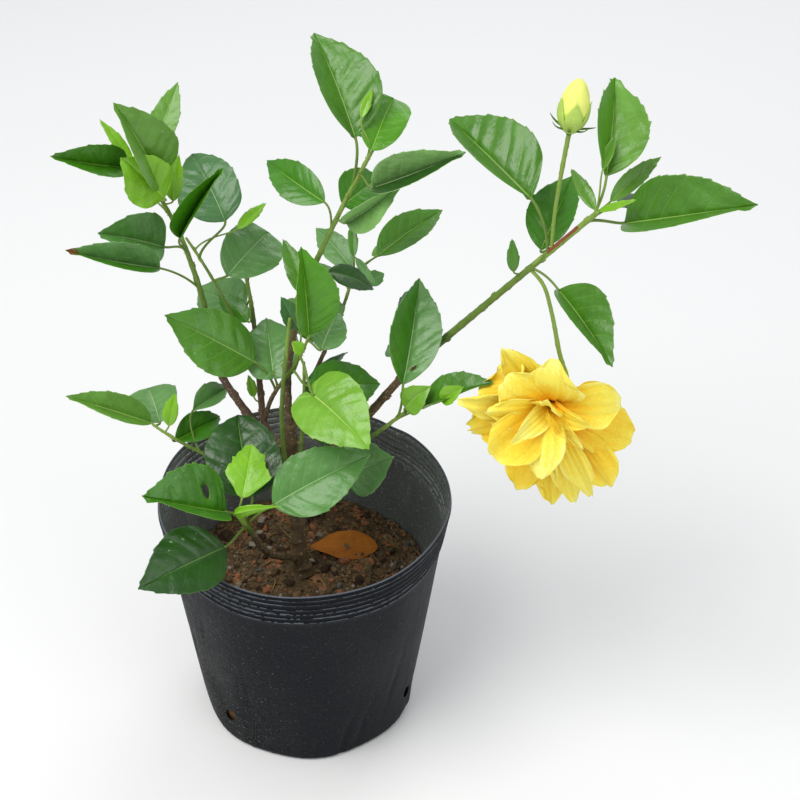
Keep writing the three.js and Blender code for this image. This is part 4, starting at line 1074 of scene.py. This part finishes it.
# ------------------------------------------------------------------ view
ELEV, ROLL, DIST, TARGET = 37.9, 0.9, 1173.0, np.array([68.2, 0, 283.0])
FOCAL_PX = 1700.0
_e, _r = math.radians(ELEV), math.radians(ROLL)
FWD = np.array([0, math.cos(_e), -math.sin(_e)])
_rt, _up = np.array([1.0, 0, 0]), np.array([0, math.sin(_e), math.cos(_e)])
RIGHT = math.cos(_r) * _rt + math.sin(_r) * _up
UPV = -math.sin(_r) * _rt + math.cos(_r) * _up
EYE = TARGET - FWD * DIST


def in_view(P):
    d = np.asarray(P, float) - EYE
    z = d @ FWD
    return np.stack([400 + FOCAL_PX * (d @ RIGHT) / z, 400 - FOCAL_PX * (d @ UPV) / z, z], -1)


def inside(poly, gx, gy):
    c = np.zeros(gx.shape, bool)
    x0, y0 = poly[-1]
    for x1, y1 in poly:
        if y0 != y1:
            k = ((y1 > gy) != (y0 > gy)) & (gx < (x0 - x1) * (gy - y1) / (y0 - y1) + x1)
            c ^= k
        x0, y0 = x1, y1
    return c


def build_leaves():
    seed = 0
    cover = np.full((400, 400), np.inf)      # nearest blade on a coarse grid of the view
    centres = []

    def stamp(out):
        q = in_view(out)
        x0, x1 = int(q[:, 0].min() / 2), int(q[:, 0].max() / 2) + 1
        y0, y1 = int(q[:, 1].min() / 2), int(q[:, 1].max() / 2) + 1
        x0, y0, x1, y1 = max(x0, 0), max(y0, 0), min(x1, 399), min(y1, 399)
        gy, gx = np.mgrid[y0:y1 + 1, x0:x1 + 1]
        k = inside(q[:, :2] / 2, gx + .5, gy + .5)
        return (slice(y0, y1 + 1), slice(x0, x1 + 1)), k, q[:, 2].mean()

    for mass, rows in LEAVES.items():
        pc = Piece(mass + "_leaves")
        for row in rows:
            seed += 1
            out, P = place(pc, row, seed, **EXTRA.get(row[0], {}))
            sl, k, z = stamp(out)
            cover[sl] = np.where(k, np.minimum(cover[sl], z), cover[sl])
            centres.append((out.mean(0), row[4][2]))
        pc.build([mass + "_foliage"])
    # leaves on the far side of each shoot: grown by rule, and kept where they stand behind
    # the leaves already there, so that the open places between the boughs stay open
    rg = np.random.default_rng(4242)
    pc = Piece("far_side_leaves")
    spots = [("left_bough", .5, .97), ("back_left_bough", .3, 1.), ("left_inner_shoot", .45, .98), ("front_shoot", .3, .95), ("centre_bough", .28, .98),
             ("back_bough", .3, 1.), ("right_bough", .3, .98), ("upright_shoot", .5, 1.), ("inner_right_shoot", .5, 1.), ("right_low_shoot", .4, .98),
             ("left_low_shoot", .4, .98), ("front_low_shoot", .5, .95)]
    weights = np.array([3, 3, 2, 2, 4, 3, 4, 2.5, 2.5, 2, 1.5, 1.5])
    weights = weights / weights.sum()
    kept, used = 0, []
    lo, hi = np.array(CAD_BOX[0]) / MM, np.array(CAD_BOX[1]) / MM
    for tries in range(6000):
        if kept >= 44:
            break
        limb, f0, f1 = spots[rg.choice(len(spots), p=weights)]
        at = rg.uniform(f0, f1)
        az, rise = rg.uniform(15, 165), rg.uniform(-10, 55)
        pl, L = rg.uniform(8, 30), rg.uniform(30, 66)
        W = L * rg.uniform(.52, .68)
        P0 = point_on(limb, at)
        B = P0 + heading(az, rise) * pl
        baz, brise = az + rg.uniform(-35, 35), rise * .3 + rg.uniform(-25, 20)
        roll = rg.uniform(-30, 30)
        T = B + heading(baz, brise) * L
        if limb == "front_low_shoot":     # all of its leaves already show
            continue
        if T[2] < 150 or B[2] < 150 or (T < lo + 2).any() or (T > hi - 2).any():
            continue
        mid = (B + T) / 2
        if np.hypot(*T[:2]) < 104 and T[2] < 215 or np.hypot(*mid[:2]) < 104 and mid[2] < 205:
            continue
        if any(np.linalg.norm(mid - c) < .42 * (L + l2) * .5 + 6 for c, l2 in centres):
            continue
        if any(u[0] == limb and abs(u[1] - at) < .05 for u in used):
            continue
        X, Y, N = leaf_frame(B, (baz, brise, L), roll)
        m = np.linspace(0, 1, 14)
        hw = half_width(m, "ovate") * W / 2 * 1.06
        poly = np.concatenate([B + X * (m * L)[:, None] + Y * hw[:, None], (B + X * (m * L)[:, None] - Y * hw[:, None])[::-1]])
        sl, k, z = stamp(poly)
        if k.sum() < 12:
            continue
        hid = (cover[sl] < z - 2)[k].mean()
        pet = in_view(np.linspace(P0, B, 6))
        hp = np.mean([cover[int(np.clip(p[1] / 2, 0, 399)), int(np.clip(p[0] / 2, 0, 399))] < p[2] for p in pet[1:]])
        if hid < .93 or hp < .6:
            continue
        # the dull and sheen tones among these carry a painted sky reflection
        tone = rg.choice(["mid", "dark", "dull", "light", "sheen", "lime"], p=[.3, .22, .18, .14, .1, .06])
        seed += 1
        row = ("far", limb, at, (az, rise, pl), (baz, brise, L), W, roll, str(tone), rg.uniform(8, 20), rg.uniform(6, 16))
        place(pc, row, seed, shape=str(rg.choice(["ovate", "round", "heart", "ovate"])), tip_droop=rg.uniform(0, .08))
        centres.append((mid, L))
        used.append((limb, at))
        kept += 1
    print("leaves on the far side:", kept, "after", tries + 1, "tries")
    pc.build()
    TWIGS.build()


# ------------------------------------------------------------------ pot
def pot_scale(a, z):
    k = z / POT["height"]
    return 1 + POT["oval"] * np.cos(2 * (a - math.radians(POT["oval_at"]))) * k * k - POT["facets"] * (.5 + .5 * np.cos(a * 7 + .6)) * (1 - k) ** 3


def pot_r(z):
    return POT["base"] + (POT["rim"] - POT["base"]) * z / POT["height"]


def speckled(name, base, speck, amount, rough=.55, spec=.2, fine=900, lumps=None, bump=.25, wash=None):
    """Soft plastic: a dull body, with pale grit caught in its grain."""
    m = material(name, base, rough=rough, spec=spec, vary=.12, scale=16, bump=bump, bump_scale=260, bump_detail=5, rough_vary=.07)
    nt = m.node_tree
    b = nt.nodes["Principled BSDF"]
    src = b.inputs["Base Color"].links[0].from_socket
    tc = nt.nodes.new("ShaderNodeTexCoord")
    def band(scale, lo, hi, detail, stretch=None):
        v = tc.outputs["Object"]
        if stretch:
            mp = nt.nodes.new("ShaderNodeMapping")
            mp.inputs["Scale"].default_value = stretch
            nt.links.new(v, mp.inputs["Vector"])
            v = mp.outputs["Vector"]
        t = nt.nodes.new("ShaderNodeTexNoise")
        t.inputs["Scale"].default_value = scale
        t.inputs["Detail"].default_value = detail
        nt.links.new(v, t.inputs["Vector"])
        r = nt.nodes.new("ShaderNodeMapRange")
        r.inputs["From Min"].default_value, r.inputs["From Max"].default_value = lo, hi
        nt.links.new(t.outputs["Fac"], r.inputs["Value"])
        return r.outputs["Result"]
    def mix(fac, a, colour, gain=1.0):
        x = nt.nodes.new("ShaderNodeMix")
        x.data_type = "RGBA"
        g = nt.nodes.new("ShaderNodeMath")
        g.operation = "MULTIPLY"
        g.inputs[1].default_value = gain
        nt.links.new(fac, g.inputs[0])
        nt.links.new(g.outputs[0], x.inputs["Factor"])
        nt.links.new(a, x.inputs["A"])
        x.inputs["B"].default_value = (*colour, 1)
        return x.outputs["Result"]
    if wash:
        src = mix(band(26, .46, .72, 3, (1, 1, .35)), src, wash, .75)
    out = mix(band(fine, .70 - amount, .76 - amount, 1), src, speck, .75)
    out = mix(band(fine * .37, .74 - amount, .80 - amount, 1), out, speck, .6)
    nt.links.new(out, b.inputs["Base Color"])
    return m


speckled("pot_side", lin((8, 11, 18)), lin((96, 98, 98)), .012, spec=.14, fine=1500)
speckled("pot_dusty", lin((14, 16, 19)), lin((118, 118, 114)), .055, rough=.7, spec=.14, fine=1300, wash=lin((52, 54, 54)))
# the ring colour: pale grey painted on the ring crests and rim lip as a painted highlight on the black plastic
speckled("pot_ring_highlight", lin((88, 94, 102)), lin((130, 132, 132)), .03, rough=.6)
# inner wall of the same black plastic: light grey as a painted light lifting its shade, with grit specks; its ring
# crests paler still, a painted highlight
speckled("pot_inside", lin((104, 108, 106)), lin((170, 172, 166)), .07, rough=.7, wash=lin((140, 142, 138)))
speckled("pot_inside_crest_highlight", lin((184, 188, 188)), lin((140, 142, 138)), .04, rough=.7)
material("soil_in_hole", lin((128, 94, 60)), rough=0.95, spec=0.1, second=lin((84, 62, 40)), second_mix=.1, scale=160, bump=1.2, bump_scale=300, bump_detail=6)
POT_WALL = {}
CORNERS = (184.5, 343.5)


def build_pot():
    rg = np.random.default_rng(11)
    H, w = POT["height"], POT["wall"]
    na = 288
    z = np.unique(np.round(np.concatenate([np.linspace(5, 22, 10), np.linspace(22, 42, 17), np.linspace(42, 166, 44), np.linspace(166, H - .6, 52)]), 4))
    a = np.linspace(0, 2 * np.pi, na, endpoint=False)
    A, Z = np.meshgrid(a, z)
    A, Z = A.copy(), Z.copy()
    drop = np.zeros((len(z) - 1, na), bool)
    # drain holes: faces cut out, and the rim of each drawn onto its slanting oval
    for i, az in enumerate(HOLES["at"]):
        a0, z0 = math.radians(az), HOLES["up"]
        ln = math.radians(HOLES["lean"] * (1 if i % 2 else -1))
        R0 = pot_r(z0)

        def to_oval(aa, zz):
            x = np.angle(np.exp(1j * (aa - a0))) * R0
            y = zz - z0
            return (x * math.cos(ln) + y * math.sin(ln)) / (HOLES["wide"] / 2), (-x * math.sin(ln) + y * math.cos(ln)) / (HOLES["tall"] / 2)
        A2 = np.concatenate([A, A[:, :1] + 2 * np.pi], 1)
        Z2 = np.concatenate([Z, Z[:, :1]], 1)
        p, q = to_oval((A2[:-1, :-1] + A2[1:, 1:]) / 2, (Z2[:-1, :-1] + Z2[1:, 1:]) / 2)
        ins = p ** 2 + q ** 2 < 1
        drop |= ins
        near, kept = np.zeros_like(A, bool), np.zeros_like(A, bool)
        for di in (0, 1):
            for dj in (0, 1):
                near[di:len(z) - 1 + di] |= np.roll(ins, dj, 1)
                kept[di:len(z) - 1 + di] |= np.roll(~ins, dj, 1)
        e = near & kept
        p, q = to_oval(A[e], Z[e])
        d = np.maximum(np.hypot(p, q), 1e-6)
        p, q = p / d * HOLES["wide"] / 2, q / d * HOLES["tall"] / 2
        A[e] = a0 + (p * math.cos(ln) - q * math.sin(ln)) / R0
        Z[e] = z0 + p * math.sin(ln) + q * math.cos(ln)
    # soft plastic: slow dents, creases, faint upright mould lines and the rings below the rim
    k = Z / H
    dent = np.zeros_like(Z)
    for _ in range(14):
        n = rg.integers(2, 8)
        dent += rg.uniform(.1, .45) * np.cos(A * n + rg.uniform(0, 6.3)) * np.cos(Z / rg.uniform(34, 90) + rg.uniform(0, 6.3))
    dent *= .85 * (1 - .75 * smooth((Z - 150) / 40)) * smooth(Z / 14)
    for _ in range(11):      # short creases
        a0, z0, l, tilt = rg.uniform(0, 6.28), rg.uniform(15, 120), rg.uniform(10, 30), rg.uniform(-.5, .5)
        x = np.angle(np.exp(1j * (A - a0))) * pot_r(z0)
        y = Z - z0
        dent -= rg.uniform(.35, .8) * np.exp(-((x - tilt * y) / 1.9) ** 2 - (y / l) ** 2)
    for az, z0, l, depth in ((292, 22, 24, 1.3), (302, 30, 20, 1.0), (318, 60, 26, .8), (205, 70, 40, .8), (243, 55, 34, .7), (222, 120, 24, .6)):
        x = np.angle(np.exp(1j * (A - math.radians(az)))) * pot_r(z0)
        dent -= depth * np.exp(-((x - .18 * (Z - z0)) / 2.4) ** 2 - ((Z - z0) / l) ** 2)
    for i in range(40):
        a0 = 2 * math.pi * (i + .3 * math.sin(i * 2.7)) / 40
        x = np.angle(np.exp(1j * (A - a0))) * pot_r(100)
        dent += (.20 + .1 * math.sin(i * 1.9)) * np.exp(-(x / .7) ** 2) * (1 - smooth((Z - 150) / 12))
    ring = np.zeros_like(Z)
    zr = (H - 28.0, H - 23.2, H - 18.6, H - 13.8, H - 8.6, H - 3.6)
    for i, z0 in enumerate(zr):
        ring += (.75 if i < 5 else .95) * np.exp(-((Z - z0 - .35 * np.sin(A * 2 + i)) / (1.0 if i < 5 else 1.5)) ** 2)
    kink = -1.6 * np.exp(-(np.angle(np.exp(1j * (A - math.radians(52)))) / .10) ** 2) * smooth((Z - 120) / 70)
    wav = (.9 * np.sin(A * 3 + .5) + .6 * np.sin(A * 7 + 2)) * smooth((Z - 150) / 40) * .7
    R = pot_r(Z) * pot_scale(A, Z) + dent + ring + kink + wav
    top_wave = (.5 * np.sin(A * 2 + 1) + .35 * np.sin(A * 5 + .4)) * smooth((Z - 170) / 25)
    Zo = Z + top_wave
    for az in CORNERS:      # the foot is drawn out into soft corners
        R = R + 1.6 * np.exp(-(np.angle(np.exp(1j * (A - math.radians(az)))) / .085) ** 2) * np.exp(-(Z / 16) ** 2)
    Ri = R - w
    POT_WALL.update(A=A, Z=Z, R=Ri)
    pc = Piece("pot_shell")
    out, inn = np.stack([R * np.cos(A), R * np.sin(A), Zo], -1), np.stack([Ri * np.cos(A), Ri * np.sin(A), np.maximum(Zo, POT["floor"])], -1)
    nz = len(z)
    # foot rounding, underside, rim lip and floor as extra rings
    def ring_at(r0, zz, wobble=1.0):
        rr = r0 * pot_scale(a, zz) + dent[0] * wobble
        return np.stack([rr * np.cos(a), rr * np.sin(a), np.full(na, zz)], -1)
    foot = [ring_at(pot_r(5) - .35, 2.6), ring_at(pot_r(5) - 1.5, 1.0), ring_at(pot_r(5) - 3.4, .15), ring_at(pot_r(5) - 6, 0.0), ring_at(40, 0.0, 0), ring_at(6, 0.0, 0)]
    under = np.array(foot[::-1])
    lip = [out[-1] * np.array([1, 1, 1]) + 0, ]
    up = np.array([0, 0, .6])
    rim = np.array([(out[-1] * .78 + inn[-1] * .22) + up * .8, (out[-1] * .5 + inn[-1] * .5) + up * 1.1, (out[-1] * .22 + inn[-1] * .78) + up * .8])
    floor = [ring_at(pot_r(5) - w - 1.6, POT["floor"] + 1.2), ring_at(pot_r(5) - w - 4.5, POT["floor"]), ring_at(40, POT["floor"], 0), ring_at(6, POT["floor"], 0)]
    P = np.concatenate([under, out, rim, inn[::-1], np.array(floor)])
    n = len(P)
    q = grid_quads(n, na, True).reshape(n - 1, na, 4)
    side, ring_highlight_m, inside_painted_light_m, dust, inside_crest_highlight_m = (pc.mat(x) for x in ("pot_side", "pot_ring_highlight", "pot_inside", "pot_dusty", "pot_inside_crest_highlight"))
    m = np.full((n - 1, na), side)
    u0 = len(under)
    zc, ac = (Z[:-1] + np.roll(Z, -1, 1)[1:]) / 2, a[None, :] + 0 * Z[:-1]
    noise = rg.uniform(size=zc.shape)
    mo = np.full(zc.shape, side)
    highlit_crest = np.zeros(zc.shape, bool)
    for z0 in zr:
        highlit_crest |= np.abs(zc - z0 - .35 * np.sin(ac * 2)) < .42
    # dust lies thick on the lower left, and in specks elsewhere
    left = np.exp(-(np.angle(np.exp(1j * (ac - math.radians(222)))) / .55) ** 2)
    mo[(noise < 1.5 * left * (1 - zc / 200) - .12)] = dust
    # painted highlight: pale grey along the crests of the rings
    mo[highlit_crest & (noise < .72)] = ring_highlight_m
    m[u0:u0 + nz - 1] = mo
    i0 = u0 + nz + len(rim)
    # painted highlight on the rim lip
    m[u0 + nz - 1:i0] = ring_highlight_m
    # inner wall and floor in the painted light grey, inner ring crests with a painted highlight
    m[i0:] = inside_painted_light_m
    mi = np.full((nz - 1, na), inside_painted_light_m)
    mi[highlit_crest & (noise < .75)] = inside_crest_highlight_m
    m[i0:i0 + nz - 1] = mi[::-1]
    keep = np.ones((n - 1, na), bool)
    keep[u0:u0 + nz - 1] &= ~drop
    keep[i0:i0 + nz - 1] &= ~drop[::-1]
    qs, ms = q[keep], m[keep]
    # walls through the thickness round each hole
    idx_o = (u0 + np.arange(nz))[:, None] * na + np.arange(na)[None, :]
    idx_i = (i0 + nz - 1 - np.arange(nz))[:, None] * na + np.arange(na)[None, :]
    walls = []
    for i in range(nz - 1):
        for j in np.nonzero(drop[i])[0]:
            j2 = (j + 1) % na
            for (di, dj, e0, e1) in ((-1, 0, (i, j), (i, j2)), (1, 0, (i + 1, j2), (i + 1, j)), (0, -1, (i + 1, j), (i, j)), (0, 1, (i, j2), (i + 1, j2))):
                if not drop[i + di, (j + dj) % na]:
                    walls.append((idx_o[e0], idx_i[e0], idx_i[e1], idx_o[e1]))
    walls = np.array(walls)[:, ::-1]
    V = P.reshape(-1, 3)
    nv = len(V)
    V = np.vstack([V, [0, 0, 0], [0, 0, POT["floor"]]])
    e = (n - 1) * na
    tris = [(nv, (j + 1) % na, j) for j in range(na)] + [(nv + 1, e + j, e + (j + 1) % na) for j in range(na)]
    pc.add(V, np.concatenate([qs, walls]), np.concatenate([ms, np.full(len(walls), side)]), tris, [side] * na + [inside_painted_light_m] * na)
    pc.build(["pot"])


# ------------------------------------------------------------------ soil
material("soil_a", lin((78, 64, 46), 2.3), rough=0.95, spec=0.12, second=lin((52, 42, 30), 2.0), second_mix=.15, scale=90, bump=1.6, bump_scale=240, bump_detail=8)
material("soil_b", lin((104, 84, 60), 2.3), rough=0.95, spec=0.12, second=lin((72, 58, 40), 2.0), second_mix=.15, scale=120, bump=1.2, bump_scale=300, bump_detail=8)
material("soil_c", lin((56, 44, 34), 2.0), rough=0.95, spec=0.12, second=lin((38, 30, 22), 1.6), second_mix=.15, scale=120, bump=1.2, bump_scale=300, bump_detail=8)
material("soil_red", lin((126, 84, 58), 2.2), rough=0.92, spec=0.12, second=lin((96, 62, 42), 2.0), second_mix=.15, scale=120, bump=1.0, bump_scale=300, bump_detail=8)
material("stone_pale", lin((168, 160, 144)), rough=0.8, spec=0.25, second=lin((132, 124, 108)), second_mix=.15, scale=180, bump=.8, bump_scale=400, bump_detail=6)
material("stone_grey", lin((112, 108, 100)), rough=0.8, spec=0.25, second=lin((84, 80, 74)), second_mix=.15, scale=180, bump=.8, bump_scale=400, bump_detail=6)
material("straw", lin((168, 140, 92)), rough=0.8, spec=0.2, second=lin((128, 100, 60)), second_mix=.15, scale=180, bump=.4, bump_scale=500)
material("leaf_dead", lin((206, 128, 40)), rough=0.7, spec=0.2, second=lin((150, 84, 32)), second_mix=.1, scale=70, bump=.4, bump_scale=400)
material("rib_dead", lin((176, 108, 42)), rough=0.7, spec=0.2, vary=.15, scale=90)
material("vein_dead", lin((190, 124, 56)), rough=0.7, spec=0.2, vary=.15, scale=90)
material("under_dead", lin((150, 96, 52)), rough=0.8, spec=0.15, vary=.15, scale=90)

ICO_T = (1 + 5 ** .5) / 2
ICO_V = np.array([(-1, ICO_T, 0), (1, ICO_T, 0), (-1, -ICO_T, 0), (1, -ICO_T, 0), (0, -1, ICO_T), (0, 1, ICO_T), (0, -1, -ICO_T), (0, 1, -ICO_T),
                  (ICO_T, 0, -1), (ICO_T, 0, 1), (-ICO_T, 0, -1), (-ICO_T, 0, 1)]) / math.hypot(1, ICO_T)
ICO_F = np.array([(0, 11, 5), (0, 5, 1), (0, 1, 7), (0, 7, 10), (0, 10, 11), (1, 5, 9), (5, 11, 4), (11, 10, 2), (10, 7, 6), (7, 1, 8),
                  (3, 9, 4), (3, 4, 2), (3, 2, 6), (3, 6, 8), (3, 8, 9), (4, 9, 5), (2, 4, 11), (6, 2, 10), (8, 6, 7), (9, 8, 1)])


def split(v, f):
    v, mid, out = list(map(tuple, v)), {}, []
    def m(a, b):
        k = (min(a, b), max(a, b))
        if k not in mid:
            p = unit((np.array(v[a]) + np.array(v[b])) / 2)
            mid[k] = len(v)
            v.append(tuple(p))
        return mid[k]
    for a, b, c in f:
        ab, bc, ca = m(a, b), m(b, c), m(c, a)
        out += [(a, ab, ca), (b, bc, ab), (c, ca, bc), (ab, bc, ca)]
    return np.array(v), np.array(out)


BALL_V, BALL_F = split(ICO_V, ICO_F)


DEAD = ((53, 33), 183.7, 52)


def build_soil():
    rg = np.random.default_rng(5)
    waves = [(rg.uniform(.03, .12), rg.uniform(0, 6.3), rg.uniform(0, 6.3), 1.5) for _ in range(7)] + \
            [(rg.uniform(.15, .45), rg.uniform(0, 6.3), rg.uniform(0, 6.3), .5) for _ in range(12)] + \
            [(rg.uniform(.6, 1.6), rg.uniform(0, 6.3), rg.uniform(0, 6.3), .22) for _ in range(16)]

    def height(x, y):
        h = 0
        for k, d, p, amp in waves:
            h = h + amp * np.sin(k * (x * math.cos(d) + y * math.sin(d)) + p)
        r = np.hypot(x, y)
        h = h * .62 - 1.5 + 3.0 * smooth((r - 62) / 32)        # hollowed a little, banked at the wall
        near = np.exp(-(((x + 4) ** 2 + (y - 6) ** 2) / 22 ** 2))
        return SOIL_LEVEL + h * (1 - .7 * near) + .4 * near

    nr, na = 74, 240
    edge = pot_r(SOIL_LEVEL) - POT["wall"] - 1.9
    rr = edge * np.linspace(0.012, 1, nr) ** .85
    a = np.linspace(0, 2 * np.pi, na, endpoint=False)
    Rr, A = np.meshgrid(rr, a, indexing="ij")
    k = pot_scale(A, SOIL_LEVEL)
    X, Y = Rr * k * np.cos(A), Rr * k * np.sin(A)
    P = np.stack([X, Y, height(X, Y)], -1)
    low = P[-1].copy()
    low[:, :2] *= .985
    low[:, 2] = 96
    P = np.concatenate([P, low[None]])
    pc = Piece("soil_top")
    names = ["soil_a", "soil_b", "soil_c", "soil_red"]
    ids = [pc.mat(x) for x in names]
    q = grid_quads(nr + 1, na, True)
    nz = rg.uniform(size=(nr, na))
    patch = np.sin(X * .11 + 1) * np.sin(Y * .13 + 2) + .6 * np.sin(X * .31 + Y * .2)
    m = np.full((nr, na), ids[0])
    m[:, :][(nz < .16)] = ids[1]
    m[(nz > .86)] = ids[2]
    m[(patch > .75) & (nz > .4)] = ids[3]
    n = P.reshape(-1, 3).shape[0]
    V = np.vstack([P.reshape(-1, 3), [0, 0, height(0.0, 0.0)], [0, 0, 96]])
    e = nr * na
    tris = [(n, j, (j + 1) % na) for j in range(na)] + [(n + 1, e + (j + 1) % na, e + j) for j in range(na)]
    pc.add(V, q, m.reshape(-1), tris, [ids[0]] * (2 * na))
    pc.build(["soil"])
    # crumbs and little stones pressed into the top
    pc = Piece("soil_crumbs")
    ids = [pc.mat(x) for x in (*names, "stone_pale", "stone_grey")]
    for i in range(1500):
        r = edge * math.sqrt(rg.uniform(0, .97))
        t = rg.uniform(0, 6.283)
        x, y = r * math.cos(t), r * math.sin(t)
        if math.hypot(x + 4, y - 6) < 11:
            continue
        big = rg.uniform() < .14
        s = rg.uniform(2.2, 5.0) if big else rg.uniform(.7, 2.2)
        if r + s > edge - .5:
            continue
        kind = rg.choice(6, p=[.29, .21, .16, .17, .11, .06])
        if kind > 3:
            s = min(s, 3.4)
        bv, bf = (BALL_V, BALL_F) if big else (ICO_V, ICO_F)
        sc = s * rg.uniform(.6, 1.15, 3)
        f = 1 + .22 * np.sin(bv @ rg.uniform(-4, 4, 3) + rg.uniform(0, 6)) + .14 * np.sin(bv @ rg.uniform(-9, 9, 3))
        v = bv * f[:, None] * sc
        an = rg.uniform(0, 6.28)
        c, s2 = math.cos(an), math.sin(an)
        v = np.stack([v[:, 0] * c - v[:, 1] * s2, v[:, 0] * s2 + v[:, 1] * c, v[:, 2] * .75], 1)
        pc.add(v + np.array([x, y, height(x, y) + sc[2] * .22]), None, None, bf, ids[kind])
    pc.build(smooth=False)
    # bits of dry straw and root, and a fallen leaf gone orange
    pc = Piece("soil_litter")
    st = pc.mat("straw")
    for i in range(34):
        r, t = 78 * math.sqrt(rg.uniform()), rg.uniform(0, 6.283)
        x, y = r * math.cos(t), r * math.sin(t)
        if math.hypot(x + 4, y - 6) < 14:
            continue
        an, l = rg.uniform(0, 6.28), rg.uniform(6, 22)
        u = np.linspace(-.5, .5, 7) * l
        bx = x + u * math.cos(an) + 1.5 * np.sin(u * .3 + i)
        by = y + u * math.sin(an)
        ok = np.hypot(bx, by) < edge - 2
        if not ok.all():
            continue
        tube(pc, np.stack([bx, by, height(bx, by) + 1.2 + .5 * np.sin(u * .4)], 1), np.array([.2, .4, .5, .5, .45, .35, .15]), 6, st)
    x, y = DEAD[0]
    leaf(pc, np.array([x, y, height(x, y) + 3.0]), (DEAD[1], 2, DEAD[2]), 25, -20, "dead", -8, 8, seed=3, tooth=.6, wave=1.8, curl_edge=10, twist=8, thick=.4)
    pc.build()
    # soil seen through the drain holes
    pc = Piece("soil_body")
    A, Z, R = (POT_WALL[x] for x in "AZR")
    rows = np.nonzero(Z.mean(1) < 96)[0]
    A, Z, R = A[rows], Z[rows], R[rows]
    R = R - .75 - .35 * (1 + np.sin(A * 47 + Z * .9) * np.sin(Z * 1.3 + A * 13)) - .25 * (1 + np.sin(A * 117 + Z * 2.1))
    P = np.stack([R * np.cos(A), R * np.sin(A), Z], -1)
    nr, na = A.shape
    q = grid_quads(nr, na, True)
    n = nr * na
    V = np.vstack([P.reshape(-1, 3), [0, 0, 4], [0, 0, 95]])
    tris = [(n, (j + 1) % na, j) for j in range(na)] + [(n + 1, (nr - 1) * na + j, (nr - 1) * na + (j + 1) % na) for j in range(na)]
    pc.add(V, q, pc.mat("soil_in_hole"), tris, pc.mat("soil_in_hole"))
    pc.build()


# ------------------------------------------------------------------ floor, light and camera
def build_stage():
    me = bpy.data.meshes.new("floor")
    me.from_pydata([(-9, -9, 0), (9, -9, 0), (9, 9, 0), (-9, 9, 0)], [], [(0, 1, 2, 3)])
    ob = bpy.data.objects.new("floor", me)
    bpy.context.scene.collection.objects.link(ob)
    m = bpy.data.materials.new("floor_paint")
    m.use_nodes = True
    b = m.node_tree.nodes["Principled BSDF"]
    b.inputs["Base Color"].default_value = (.86, .86, .86, 1)
    b.inputs["Roughness"].default_value = .85
    b.inputs["Specular IOR Level"].default_value = .2
    me.materials.append(m)
    w = bpy.data.worlds.new("sky")
    bpy.context.scene.world = w
    w.use_nodes = True
    bg = w.node_tree.nodes["Background"]
    bg.inputs["Color"].default_value = (.93, .96, 1.0, 1)
    bg.inputs["Strength"].default_value = .54

    def lamp(name, loc, size, power, target=(.06, 0, .28), colour=(1, 1, 1)):
        ld = bpy.data.lights.new(name, "AREA")
        ld.shape, ld.size, ld.energy, ld.color = "DISK", size, power, colour
        o = bpy.data.objects.new(name, ld)
        bpy.context.scene.collection.objects.link(o)
        o.location = loc
        from mathutils import Vector
        o.rotation_euler = (Vector(target) - Vector(loc)).to_track_quat("-Z", "Y").to_euler()
    lamp("key", (-.9, -.7, 2.3), 1.7, 42, colour=(1, .985, .95))
    lamp("fill", (1.6, -1.5, 1.3), 1.6, 10)
    lamp("back", (.7, 1.8, 1.9), 1.5, 12)
    cam = bpy.data.cameras.new("camera")
    cam.sensor_width, cam.lens = 36.0, FOCAL_PX / 800 * 36.0
    cam.clip_start, cam.clip_end = .05, 50
    co = bpy.data.objects.new("camera", cam)
    bpy.context.scene.collection.objects.link(co)
    from mathutils import Matrix
    M = Matrix.Identity(4)
    for i in range(3):
        M[i][0], M[i][1], M[i][2], M[i][3] = RIGHT[i], UPV[i], -FWD[i], EYE[i] * MM
    co.matrix_world = M
    bpy.context.scene.camera = co
    bpy.context.scene.view_settings.view_transform = "Standard"
    bpy.context.scene.view_settings.look = "None"


build_stage()
build_pot()
build_soil()
build_limbs()
build_leaves()
build_flower()
build_bud()
bpy.context.view_layer.update()
print("triangles:", sum(TRIANGLES.values()), "most in one piece:", max((v, k) for k, v in TRIANGLES.items()))
